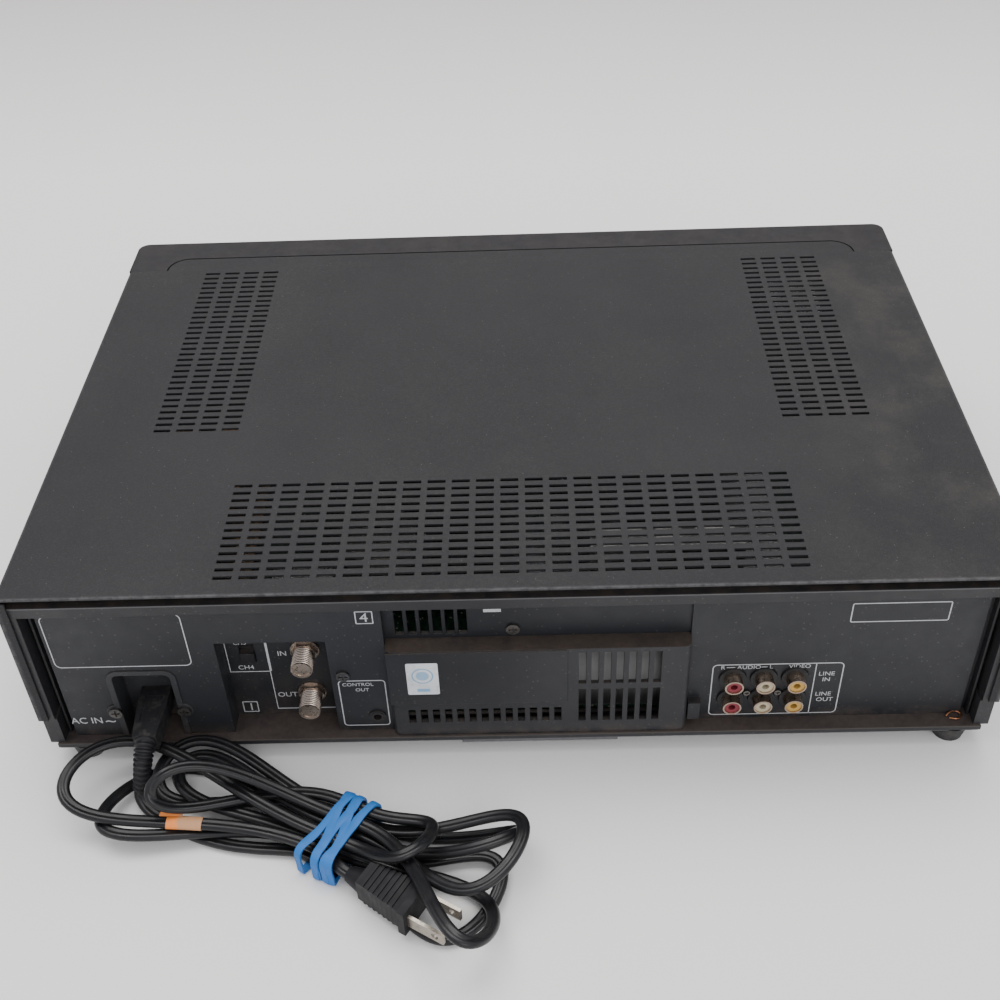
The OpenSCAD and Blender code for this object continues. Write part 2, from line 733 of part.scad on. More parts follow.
module front_board() color("#1f4a2c") {
    t = board2_t;
    difference() {
        union() {
            box(-inner_x, inner_x, board2_y, board2_y + t, floor_z + bezel_t + 1, door_z - 2);
            box(-inner_x, door_x0 - 4, board2_y, board2_y + t, door_z - 3, body_h - 7);
            box(door_x1 + 4, inner_x, board2_y, board2_y + t, door_z - 3, body_h - 7);
            rod_y(jog_x, jog_z, board2_y - 6, board2_y + 1, tube_r + 3);
            for (x = [power_x, eject_x, key_x(0), key_x(1), key_x(2), key_x(3)])
                rod_y(x, key_z, stem_y - 2.2, board2_y + 1, 2.5);
            for (i = [0 : 3]) rod_y(small_x(i), small_z, board2_y - 1.6, board2_y + 1, 2.5);
        }
        rod_y(jog_x, jog_z, board2_y - 7, board2_y - 0.5, tube_r + run);
        rod_y(jog_x, jog_z, board2_y - 1, board2_y + t + 1, shaft_r + 0.5);
    }
}

module display_module() color("#3c4c50") {
    box(deck_x - 60, deck_x + 60, board2_y - 8, board2_y, window_z + 2, window_z + window_h - 2);
}

module rf_jacks() color("#b5ad9a") for (z = rf_z) difference() {
    union() {
        rod_y(rf_x, z, y_rf - panel_t, y_rf + 1, jack_post_r);
        rod_y(rf_x, z, y_rf, y_rf + 1.2, 6.5);
        translate([rf_x, y_rf + 1.2, z]) rotate([-90, 0, 0]) cylinder(r = 6, h = 2, $fn = 6);
        rod_y(rf_x, z, y_rf + 1, y_rf + rf_l, rf_r);
    }
    rod_y(rf_x, z, y_rf + rf_l - 1.5, y_rf + rf_l + 1, rf_r - 1.2);
    rod_y(rf_x, z, y_rf + 2, y_rf + rf_l, 0.7);
}

module tuner_can() color("#9a9c9e")
    box(rf_x0 + 2.3, rf_x0 + 30.3, y_rf - panel_t - 44, y_rf - panel_t, on_board, on_board + 46);

// The slider of the channel switch and the body it runs in are two solids of two nodes.
module channel_switch() color("#d8d8d4") {
    box(switch_x - switch_w / 2, switch_x + switch_w / 2, y_rf - panel_t - 0.7, y_rf + 1.5,
        switch_z0 + 0.4, switch_z0 + 0.4 + knob_h);
    box(switch_x - switch_w / 2 - 1.5, switch_x + switch_w / 2 + 1.5,
        y_rf - panel_t - 1.7, y_rf - panel_t - 0.4, switch_z0 - 1, switch_z0 + knob_h + 1);
}

module rca_block() color("#1b1c1e") {
    x0 = phono_x[2] - 6.8;
    x1 = phono_x[0] + 6.8;
    difference() {
        union() {
            box(x0, x1, y_phono - panel_t - 20, y_phono - panel_t, on_board, phono_z[0] + 7);
            for (x = phono_x, z = phono_z)
                rod_y(x, z, y_phono - panel_t - 1, y_phono + phono_step, phono_base);
        }
        for (x = phono_x, z = phono_z)
            rod_y(x, z, y_phono - 8, y_phono + phono_step + 1, 1.6);
    }
}

shell_in = phono_r - 0.7;

module rca_shells() color("#c9c4b8") for (x = phono_x, z = phono_z) difference() {
    rod_y(x, z, y_phono + phono_step, y_phono + phono_l, phono_r);
    rod_y(x, z, y_phono + phono_step - 1, y_phono + phono_l + 1, shell_in);
}

module rca_ring(x) for (z = phono_z) difference() {
    rod_y(x, z, y_phono + phono_step, y_phono + phono_l - 0.6, shell_in);
    rod_y(x, z, y_phono, y_phono + phono_l, 1.6);
}

module rca_rings_red() color("#b01c1c") rca_ring(phono_x[0]);
module rca_rings_white() color("#e6e6e2") rca_ring(phono_x[1]);
module rca_rings_yellow() color("#d9b21e") rca_ring(phono_x[2]);

module control_jack() color("#151617") difference() {
    union() {
        box(jack_x - 4.4, jack_x + 4.4, y_outer - panel_t - 14, y_outer - panel_t,
            jack_z - 3.7, jack_z + 4.4);
        rod_y(jack_x, jack_z, y_outer - panel_t - 1, y_outer + 1, jack_neck);
        rod_y(jack_x, jack_z, y_outer, y_outer + 0.8, 3.9);
    }
    rod_y(jack_x, jack_z, y_outer - 13, y_outer + 2, jack_r);
}

nose_l = 14;
nose_h = 8;
inlet_x0 = inlet_x - 9.5;
inlet_x1 = inlet_x + 9.5;
blade_gap = 4.3;

module ac_inlet() color("#191a1c") difference() {
    union() {
        across(y_ac - panel_t, y_outer) ac_shape(ac_wall);
        across(y_outer, y_outer + 0.6) difference() {
            union() {
                ac_shape(ac_rim);
                for (x = [ac_x0 - ac_rim, ac_x1 + ac_rim]) translate([x, ac_ear_z])
                    circle(ac_ear, $fn = 40);
            }
            ac_shape(0);
        }
        box(inlet_x0, inlet_x1, y_ac - panel_t - 20, y_ac - panel_t + 1, on_board, inlet_z + 8);
    }
    across(y_ac, y_outer + 2) {
        ac_shape(0);
        translate([ac_x0, in_z - 1]) square([ac_x1 - ac_x0, 5]);
    }
    across(y_ac - nose_l - 0.3, y_ac + 1) translate([inlet_x, inlet_z])
        stadium(plug_w + 0.5, nose_h + 0.5);
}

// The body of the plug is as wide at the recess as plug_w and narrows towards its cord.
module connector_plan() {
    w = plug_w / 2;
    v = 5.2;
    polygon([[inlet_x - w, y_ac + 0.3], [inlet_x + w, y_ac + 0.3], [inlet_x + w, y_outer],
             [inlet_x + v, plug_end], [inlet_x - v, plug_end], [inlet_x - w, y_outer]]);
}

module power_connector() color("#17181a") {
    difference() {
        translate([0, 0, inlet_z - plug_h / 2]) linear_extrude(plug_h) connector_plan();
        translate([inlet_x - 4, y_outer - 6, inlet_z + plug_h / 2 - 0.4]) cube([8, 15, 1]);
    }
    across(y_ac - nose_l, y_ac + 1) translate([inlet_x, inlet_z]) stadium(plug_w, nose_h);
}

// Head of a cross-head screw that sits on a plane across Y.
module head_y(x, z, y, r) difference() {
    rod_y(x, z, y, y + screw_h, r);
    box(x - r * 0.65, x + r * 0.65, y + screw_h - 0.7, y + screw_h + 1, z - 0.35, z + 0.35);
    box(x - 0.35, x + 0.35, y + screw_h - 0.7, y + screw_h + 1, z - r * 0.65, z + r * 0.65);
}

module screws() color("#8d8f92") {
    for (x = [ac_x0 - ac_rim, ac_x1 + ac_rim]) head_y(x, ac_ear_z, y_outer + 0.6, screw_r);
    head_y(rf_x0 - 5.5, in_z + 37.4, y_outer, screw_r);
    head_y(box_x1 - 55.7, in_z + 60.1, y_shelf, screw_r);
    for (i = [0, 1]) head_y((phono_x[i] + phono_x[i + 1]) / 2, phono_z[1] + 4, y_phono, 1.5);
}

board_x1 = power_x0 - 4;
board_y1 = back_y - 21;

module main_board() color("#1f4a2c") difference() {
    union() {
        box(-inner_x, board_x1, deck_y0 + 6, board_y1, board_z, on_board);
        box(box_x0 + 1, box_x1 - 1, board_y1 - 1, y_shelf - panel_t - 0.5, board_z, on_board);
    }
    for (p = deck_posts) rod_z(deck_x + p[0], p[1], board_z - 1, on_board + 1, post_r + 0.5);
}

// Capacitors on the power board: place, radius and height.
cans = [[power_x0 + 14, -28, 11, 34], [power_x0 + 41, -28, 11, 34], [power_x0 + 14, -2, 8, 26]];

module power_board() color("#6a4a2a") {
    box(power_x0, inner_x, -60, board_y1, board_z, on_board);
    for (c = cans) rod_z(c[0], c[1], on_board, on_board + c[3], c[2]);
}

// The core of the transformer lies across its winding.
core_w = 54;
core_d = 30;
winding_w = 34;
winding_d = 54;
core_x = inner_x - 5 - core_w / 2;
core_y = 39;

module power_transformer() color("#5b5048") {
    box(core_x - core_w / 2, core_x + core_w / 2, core_y - core_d / 2, core_y + core_d / 2,
        on_board, on_board + 46);
    box(core_x - winding_w / 2, core_x + winding_w / 2, core_y - winding_d / 2,
        core_y + winding_d / 2, on_board, on_board + 38);
}

sink_h = 39;
fin_pitch = 6;
fin_t = 1.5;
fin_l = 12;

module heat_sink() color("#b4b6b8") {
    x0 = box_x0 + 7;
    y1 = y_shelf - panel_t - 1;
    box(x0, x0 + 7 * fin_pitch + 2, y1 - 2, y1, on_board, on_board + sink_h);
    for (x = [x0 : fin_pitch : x0 + 7 * fin_pitch])
        box(x, x + fin_t, y1 - fin_l, y1 - 1, on_board, on_board + sink_h);
}

shield_w = 27;
shield_l = 36;
shield_x = inner_x - 38;
shield_y = -64;

module signal_shield() color("#b9bbbd")
    box(-shield_x, shield_w - shield_x, shield_y - shield_l, shield_y, on_board, body_h - 7);

bracket_y1 = -20;
window_in = 3;

module deck_side() difference() {
    union() {
        box(bracket_x0, bracket_x0 + bracket_t, deck_y0, bracket_y1, deck_z, cage_z1 - 4);
        box(slide_x0, bracket_x0 + 0.5, deck_y0, bracket_y1, slider_z0 - fit - 1.5, slider_z0 - fit);
    }
    box(bracket_x0 - 1, bracket_x0 + bracket_t + 1, guide_y[0] - window_in,
        guide_y[1] + cage_in + window_in, guide_z - cage_down - window_in, guide_z + window_in);
}

module deck_plate() color("#a3a5a6") {
    difference() {
        box(deck_x - deck_w / 2, deck_x + deck_w / 2, deck_y0, deck_y1, deck_z, deck_top);
        rod_z(capstan_x, capstan_y, deck_z - 1, deck_top + 1, 3);
        rod_z(pinion_x, cam_y, deck_z - 1, deck_top + 1, 2.2);
    }
    translate([deck_x, 0, 0]) {
        deck_side();
        mirror([1, 0, 0]) deck_side();
    }
    difference() {
        rod_z(capstan_x, capstan_y, deck_z, deck_top + 3, 4);
        rod_z(capstan_x, capstan_y, deck_z - 1, deck_top + 4, capstan_r + run);
    }
    for (s = [-1, 1]) rod_z(deck_x + s * reel_x, reel_y, deck_top - 0.5, deck_top + 11, 2);
    rod_z(arm_x, arm_y, deck_top - 0.5, deck_top + 14, 2);
    rod_z(cam_x, cam_y, deck_top - 0.5, deck_top + 8, 2);
}

lower_z1 = deck_top + drum_low;

module lower_drum() color("#b9bbbd") difference() {
    rod_z(drum_x, drum_y, deck_top, lower_z1, drum_r);
    rod_z(drum_x, drum_y, deck_top + 2, lower_z1 + 1, spindle_r + run);
}

module upper_drum() color("#c8cacc") {
    difference() {
        rod_z(drum_x, drum_y, lower_z1 + drum_gap, lower_z1 + drum_gap + drum_up, drum_r);
        rod_z(drum_x, drum_y, lower_z1 + drum_gap + drum_up - 2, lower_z1 + drum_up + 2, drum_r - 5);
        for (a = [0, 180]) translate([drum_x, drum_y, 0]) rotate([0, 0, a])
            box(drum_r - 1.2, drum_r + 1, -2.5, 2.5, lower_z1, lower_z1 + 4);
    }
    rod_z(drum_x, drum_y, deck_top + 3, lower_z1 + drum_up, spindle_r);
}

module capstan() color("#c8cacc") {
    rod_z(capstan_x, capstan_y, flywheel_z - 7, deck_top + 24, capstan_r);
    rod_z(capstan_x, capstan_y, flywheel_z, flywheel_z + flywheel_t, flywheel_r);
}

module capstan_motor() color("#7f8183") difference() {
    rod_z(capstan_x, capstan_y, on_board, flywheel_z - fit, 14);
    rod_z(capstan_x, capstan_y, on_board + 1.5, flywheel_z + 1, capstan_r + run);
}

arm_z = deck_top + 1;

module pinch_arm() color("#9a9c9e") {
    difference() {
        union() {
            rod_z(arm_x, arm_y, arm_z, arm_z + 11, 4.5);
            translate([arm_x, arm_y, arm_z]) rotate([0, 0, arm_rest])
                translate([0, -2.5, 0]) cube([arm_l, 5, 2.5]);
            rod_z(roller_x, roller_y, arm_z, arm_z + 2.5, 3.2);
        }
        rod_z(arm_x, arm_y, arm_z - 1, arm_z + 12, 2 + run);
    }
    rod_z(roller_x, roller_y, arm_z + 2, arm_z + 19, 1.5);
}

module pinch_roller() color("#17181a") difference() {
    rod_z(roller_x, roller_y, arm_z + 2.5 + fit, arm_z + 18, pinch_r);
    rod_z(roller_x, roller_y, arm_z, arm_z + 20, 1.5 + run);
}

module reel(x) difference() {
    union() {
        rod_z(x, reel_y, deck_top + fit, deck_top + 3, reel_r);
        rod_z(x, reel_y, deck_top + 1, deck_top + 12, hub_r);
        for (a = [0, 60, 120]) translate([x, reel_y, deck_top + 3]) rotate([0, 0, a])
            translate([-hub_r - 1.5, -0.8, 0]) cube([2 * hub_r + 3, 1.6, 7]);
    }
    rod_z(x, reel_y, deck_top - 1, deck_top + 13, 2 + run);
}

module supply_reel() color("#d5d3cc") reel(deck_x - reel_x);
module take_up_reel() color("#d5d3cc") reel(deck_x + reel_x);

module cage_side() {
    box(cage_w / 2, cage_out, cage_y0, cage_y1, cage_z0, cage_z1);
    box(cage_w / 2 - 9, cage_out, cage_y0, cage_y1, cage_z0, cage_z0 + cage_t);
    for (y = guide_y) rod_x(y, guide_z, cage_w / 2 + cage_t / 2, bracket_x0 + bracket_t + 1, guide_r);
}

module cassette_cage() color("#8f9193") translate([deck_x, 0, 0]) {
    box(-cage_out, cage_out, cage_y0, cage_y1, cage_z1 - cage_t, cage_z1);
    cage_side();
    mirror([1, 0, 0]) cage_side();
}

module slider_side() difference() {
    box(slide_x0, slide_x1, cage_y0 + 4, cage_y1 + 3.5, slider_z0, cage_z1 - 3);
    for (y = guide_y) box(slide_x0 - 1, slide_x1 + 1, y - guide_r - fit, y + guide_r + fit,
                          guide_z - cage_down - guide_r - fit, guide_z + guide_r + fit);
}

module cage_slider() color("#6f7173") translate([deck_x, 0, 0]) {
    slider_side();
    mirror([1, 0, 0]) slider_side();
    box(-slide_x1, slide_x1, cage_y1 + 2, cage_y1 + 3.5, cage_z1 - 16, cage_z1 - 3);
}

module loading_motor() color("#8d8f92") {
    rod_z(pinion_x, cam_y, on_board, deck_z, 9);
    rod_z(pinion_x, cam_y, deck_z - 1, deck_top + 7, 1.5);
    rod_z(pinion_x, cam_y, deck_top + 1, deck_top + 7, pinion_r);
}

module cam_gear() color("#e1dfd8") difference() {
    union() {
        rod_z(cam_x, cam_y, deck_top + 1, deck_top + 6.5, cam_r);
        for (i = [0 : cam_teeth - 1]) translate([cam_x, cam_y, deck_top + 1])
            rotate([0, 0, i * 360 / cam_teeth])
                translate([cam_r - 0.5, -0.7, 0]) cube([tooth_h + 0.5, 1.4, 5.5]);
    }
    rod_z(cam_x, cam_y, deck_top, deck_top + 9, 2 + run);
}

// The lead, its hank, the band and the plug.
function unit(v) = v / norm(v);
function ease(s) = s * s * (3 - 2 * s);

// Corners of a cord's section on a 2 by 2 square: six for the hank, eight for the lead.
six = [[1, 0], [0.62, 1], [-0.62, 1], [-1, 0], [-0.62, -1], [0.62, -1]];
eight = [for (i = [0 : 7]) [cos(i * 45), sin(i * 45)]];

function heading(p, i, first, last) = i == 0 ? first : i == len(p) - 1 ? last : unit(p[i + 1] - p[i - 1]);

function level(d) = unit([-d[1], d[0], 0]);

// One tube through points p, each ring w wide on the level and t thick.
module swept(p, w, t, first, last, section) {
    n = len(section);
    m = len(p);
    rings = [for (i = [0 : m - 1])
        let (d = heading(p, i, first, last), a = level(d), b = cross(d, a))
            for (c = section) p[i] + a * c[0] * w[i] / 2 + b * c[1] * t[i] / 2];
    faces = concat([[for (j = [0 : n - 1]) j]],
        [for (i = [0 : m - 2], j = [0 : n - 1])
            [i * n + j, (i + 1) * n + j, i * n + (j + 1) % n]],
        [for (i = [0 : m - 2], j = [0 : n - 1])
            [(i + 1) * n + j, (i + 1) * n + (j + 1) % n, i * n + (j + 1) % n]],
        [[for (j = [n - 1 : -1 : 0]) (m - 1) * n + j]]);
    polyhedron(points = rings, faces = faces, convexity = 6);
}

// The strain relief bends from the back of the connector down to the lead.
relief_from = [inlet_x, plug_end, inlet_z];
relief_a = [164, 166, 27.5];
relief_b = [165.6, 168.4, 17];
relief_to = [168, 170, 9];
relief_w = [9.8, 7];
rib_depth = 0.8;
rib_rings = 4;

function bend(s) = pow(1 - s, 3) * relief_from + 3 * pow(1 - s, 2) * s * relief_a
    + 3 * (1 - s) * s * s * relief_b + s * s * s * relief_to;

relief_n = relief_ribs * rib_rings;
relief_dir = unit(relief_to - relief_b);

module strain_relief() color("#17181a") {
    p = [for (i = [0 : relief_n]) bend(i / relief_n)];
    d = [for (i = [0 : relief_n])
        relief_w[0] + (relief_w[1] - relief_w[0]) * i / relief_n
            - (i % rib_rings > 1 ? 2 * rib_depth : 0)];
    swept(p, d, d, [0, 1, 0], relief_dir, eight);
}

// Half the length of the straight run under the band, and the hank's own axes.
waist = [76, 197];
grip_l = 8;
hank_u = [-0.9023, 0.4311, 0];
hank_v = [-0.4311, -0.9023, 0];
hank_lift = 0.6;

function at(u, v, z) = [waist[0], waist[1], hank_lift + z] + u * hank_u + v * hank_v;

// Each loop: reach, sideways bend, half width, lift, tilt. Each pass: place across, height.
loops = [[64.7, 9.5, -24.5, 1, -1.4],
    [94.7, -25.2, -26.1, 4.8, 5.2],
    [63.2, 19.7, -8.9, 12.4, 9],
    [84.4, -13.5, 17.5, 5.8, 7.8],
    [68.6, 9.2, 23.4, 13.9, 1],
    [76.7, 3.2, 11.4, 1.1, -0.4],
    [73.6, -23.4, 22.9, 9.2, -12.3],
    [70.1, -33.2, 9.8, 13.5, 10.5],
    [31.8, 2.2, 9.1, 7.7, -5],
    [114.2, -18, 23.1, 8.8, 2.3]];
passes = [[-11.2, 2.2],
    [-4.3, 2],
    [5.3, 2.5],
    [13.5, 2],
    [10.9, 6.3],
    [3.9, 8.9],
    [-4.2, 6.6],
    [5.8, 13],
    [13.5, 12.5],
    [-4.8, 13],
    [-10, 8.9]];
last_pass = [-15.5, 9.5];
loop_rings = 24;

function pass(k) = passes[k];

function loop_point(k, s) =
    let (side = k % 2 == 0 ? 1 : -1, l = loops[k], a = pass(k), b = pass(k + 1),
         p = sin(180 * s), q = sin(360 * s) * p, w = ease(s))
    at(side * (grip_l + l[0] * p),
       a[0] + (b[0] - a[0]) * w + l[1] * p * p + l[2] * q,
       a[1] + (b[1] - a[1]) * w + l[3] * p * p + l[4] * q);

hank_in = at(-grip_l, passes[0][0], passes[0][1]);
plug_dir = [-0.857, 0.5153, 0];
hank_out = at(grip_l + 6, last_pass[0], last_pass[1]);
hank_route = concat([hank_in],
    [for (k = [0 : 2 * hank_loops - 1], i = [0 : loop_rings - 1])
        loop_point(k, i / (loop_rings - 1))],
    [hank_out]);

// Half the size of the section of point i towards d.
function reach(i, d) =
    let (t = heading(hank_route, i, hank_u, plug_dir), a = level(t), b = cross(t, a))
    norm([cord_w / 2 * (d * a), cord_t / 2 * (d * b)]);

function gap_of(i, j) = let (v = hank_route[j] - hank_route[i], l = norm(v))
    l > 12 ? l : l - reach(i, v / l) - reach(j, v / l);

echo(least_gap_of_the_hank_to_itself = min([for (i = [0 : len(hank_route) - 6],
    j = [i + 5 : len(hank_route) - 1]) gap_of(i, j)]));

module cord_hank() color("#141516") {
    n = len(hank_route);
    swept(hank_route, [for (i = [1 : n]) cord_w], [for (i = [1 : n]) cord_t], hank_u, plug_dir, six);
}

lead_route = [relief_to, [167.8, 172.4, 6], [165.6, 175.6, 4], [162, 179, 3], [158, 181.5, 2.6],
              [150, 186.4, 2.4], [142, 190.6, 2.4], [134, 193.8, 2.4], [124, 196.6, 2.4],
              [113, 198.4, 2.6], [103, 199.4, 2.8], [95.3, 200.25, 2.8], hank_in];

module cord_lead() color("#141516") {
    n = len(lead_route);
    swept(lead_route, [for (i = [1 : n]) cord_w], [for (i = [1 : n]) cord_t],
          relief_dir, hank_u, eight);
}

band_t = 0.9;
band_w = 3.6;
band_pitch = 2.9;
band_v = [-18.2, 18.3];
band_top = 16.4;
band_cut = 3.2;
band_skew = [-10, 7, -4, 10, -7, 4];

module band_outline(g) {
    z0 = g;
    z1 = band_top - g;
    v0 = band_v[0] - band_t + g;
    v1 = band_v[1] + band_t - g;
    c = band_cut - 0.4 * g;
    polygon([[z0 + 1, v0], [z1 - c, v0], [z1, v0 + c], [z1, v1 - c], [z1 - c, v1], [z0 + 1, v1],
             [z0, v1 - 1], [z0, v0 + 1]]);
}

module rubber_band() color("#2f6db5")
    translate([waist[0], waist[1], 0]) rotate([0, 0, 154.46])
        for (i = [0 : band_wraps - 1])
            translate([(i - (band_wraps - 1) / 2) * band_pitch, 0, 0]) rotate([0, 0, band_skew[i]])
                translate([band_w / 2, 0, 0]) rotate([0, -90, 0]) linear_extrude(band_w)
                    difference() {
                        band_outline(0);
                        band_outline(band_t);
                    }

// The plug lies along plug_dir from the end of the hank.
plug_turn = 149;
tail_l = 10;
grip_x = 31;
plug_flange_t = 3.5;
blade_l = 17;
blade_space = 12.7;
plug_rise = 1.2;

module plug_body() color("#17181a") translate(hank_out) rotate([0, 0, plug_turn]) {
    rotate([0, 90, 0]) cylinder(r1 = 3.4, r2 = 5.8, h = tail_l, $fn = 40);
    translate([0, 0, plug_rise]) {
        translate([0, 0, -6]) linear_extrude(12) polygon([[tail_l - 2, -5.5], [grip_x, -8.2],
            [grip_x, 8.2], [tail_l - 2, 5.5]]);
        for (i = [0 : 6]) translate([tail_l + 1 + i * 2.6, -6 - i * 0.3, -6.6])
            cube([1.2, 12 + i * 0.6, 13.2]);
        translate([grip_x, -9.5, -7]) cube([plug_flange_t, 19, 14.5]);
    }
}

module plug_blades() color("#c9c7c0") translate(hank_out) rotate([0, 0, plug_turn])
    translate([grip_x + plug_flange_t, 0, plug_rise]) for (s = [-1, 1])
        translate([0, s * blade_space / 2 - 0.75, 0]) difference() {
            translate([0, 0, -3.2]) cube([blade_l, 1.5, 6.4]);
            translate([blade_l - 4, -1, 0]) rotate([-90, 0, 0]) cylinder(r = 1.6, h = 4, $fn = 32);
        }

top_cover();
chassis_frame();
bottom_plate();
rear_panel();
rear_vent_box();
front_bezel();
cassette_door();
control_door();
display_window();
feet();
screws();
power_button();
eject_button();
play_button();
stop_button();
rewind_button();
forward_button();
pause_button();
record_button();
channel_up_button();
channel_down_button();
jog_dial();
shuttle_ring();
front_board();
display_module();
rf_jacks();
tuner_can();
channel_switch();
rca_block();
rca_shells();
rca_rings_red();
rca_rings_white();
rca_rings_yellow();
control_jack();
ac_inlet();
power_connector();
strain_relief();
cord_lead();
cord_hank();
rubber_band();
plug_body();
plug_blades();
main_board();
power_board();
power_transformer();
heat_sink();
signal_shield();
deck_plate();
lower_drum();
upper_drum();
capstan();
capstan_motor();
pinch_arm();
pinch_roller();
supply_reel();
take_up_reel();
cassette_cage();
cage_slider();
loading_motor();
cam_gear();
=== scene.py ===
"""Looks for a video cassette recorder that is seen from behind and above, on a pale floor."""
import math
import random

import bpy
import numpy as np
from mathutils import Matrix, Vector


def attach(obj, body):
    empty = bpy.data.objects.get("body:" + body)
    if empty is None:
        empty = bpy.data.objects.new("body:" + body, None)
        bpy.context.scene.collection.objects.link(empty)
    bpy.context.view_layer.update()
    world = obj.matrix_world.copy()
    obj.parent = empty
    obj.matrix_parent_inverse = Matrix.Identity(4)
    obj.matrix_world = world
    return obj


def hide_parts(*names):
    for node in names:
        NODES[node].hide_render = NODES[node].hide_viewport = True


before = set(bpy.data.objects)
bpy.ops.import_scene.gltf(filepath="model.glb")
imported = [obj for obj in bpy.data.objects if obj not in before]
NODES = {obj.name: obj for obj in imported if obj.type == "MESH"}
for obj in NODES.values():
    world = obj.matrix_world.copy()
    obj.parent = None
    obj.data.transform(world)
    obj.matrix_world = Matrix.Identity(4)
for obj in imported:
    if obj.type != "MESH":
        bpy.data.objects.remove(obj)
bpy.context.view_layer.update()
BODY = "recorder"
MM = 0.001


# Camera, light and floor. The camera stands behind the recorder, as it did for the photograph.

LENS = 47.34
SENSOR = 36
CAMERA_PLACE = (-0.009817, 0.533321, 0.482559)
CAMERA_TURN = (49.5453, 1.9385, -179.845)
SKY_COLOR = (0.93, 0.94, 1.0, 1)
SKY_STRENGTH = 0.95
# Name, place, point it faces, size, power and colour of each soft lamp
LAMPS = [("ceiling", (0.2, -0.5, 2.2), (0, 0, 0), (2.4, 1.6), 52, (1, 0.985, 0.965)),
         ("behind_camera", (-0.9, 2.0, 1.5), (0, 0.1, 0.05), (1.6, 1.2), 18, (1, 0.99, 0.98))]
# The paper, in millimetres: half its width, its end near the camera, where it starts to curve, the
# radius of that curve, and its top
PAPER_HALF = 2600
PAPER_END = 1200
PAPER_BEND = -900
PAPER_R = 450
PAPER_TOP = 1800


def add_camera():
    """The camera of the photograph."""
    data = bpy.data.cameras.new("camera")
    data.lens = LENS
    data.sensor_width = SENSOR
    data.clip_start = 0.01
    camera = bpy.data.objects.new("camera", data)
    camera.location = CAMERA_PLACE
    camera.rotation_euler = [math.radians(a) for a in CAMERA_TURN]
    bpy.context.scene.collection.objects.link(camera)
    bpy.context.scene.camera = camera


def add_area(name, place, aim, size, power, color):
    """A soft lamp that faces the point aim."""
    data = bpy.data.lights.new(name, "AREA")
    data.shape = "RECTANGLE"
    data.size, data.size_y = size
    data.energy = power
    data.color = color
    light = bpy.data.objects.new(name, data)
    light.location = place
    light.rotation_euler = (Vector(aim) - Vector(place)).to_track_quat("-Z", "Y").to_euler()
    bpy.context.scene.collection.objects.link(light)


def add_lights():
    """The sky and the soft lamps."""
    world = bpy.data.worlds.new("studio")
    world.use_nodes = True
    back = world.node_tree.nodes["Background"]
    back.inputs[0].default_value = SKY_COLOR
    back.inputs[1].default_value = SKY_STRENGTH
    bpy.context.scene.world = world
    for lamp in LAMPS:
        add_area(*lamp)


def add_stage():
    """Pale paper that lies on the floor and curves up at the far side, beyond the recorder's front."""
    curve = [math.radians(9 * i) for i in range(11)]
    profile = [(PAPER_END, 0)]
    profile += [(PAPER_BEND - PAPER_R * math.sin(a), PAPER_R - PAPER_R * math.cos(a)) for a in curve]
    profile.append((PAPER_BEND - PAPER_R, PAPER_TOP))
    points = [(x, y, z) for y, z in profile for x in (-PAPER_HALF, PAPER_HALF)]
    faces = [(i, i + 1, i + 3, i + 2) for i in range(0, len(points) - 2, 2)]
    piece("floor", mesh_of("floor", points, faces), MATERIALS["floor"], None, 60)


# Materials. Each is a small graph of shader nodes, which reads places in metres.

# Colour of brown dust and of pale dust
DUST = (0.115, 0.085, 0.062)
PALE_DUST = (0.17, 0.155, 0.13)
# Half the width of the cover, its back and its top, in metres as all that follow
HALF_W = 0.215
BACK = 0.147
TOP = 0.105
# Where the ledge behind the rear panel starts and its heights, and the edge of the bar across the back
LEDGE_Y = 0.13
LEDGE_Z = (0.0115, 0.0132)
BAR_Y = 0.1455
BAR_Z = 0.0981
# The aerial recess: its sides, a plane just off its back, and its floor
RECESS_X = (0.0805, 0.1295)
RECESS_Y = 0.132
RECESS_Z = 0.013
# Heights of the sticker's ring and of the line below it
RING_Z = 0.053
LINE_Z = 0.0438


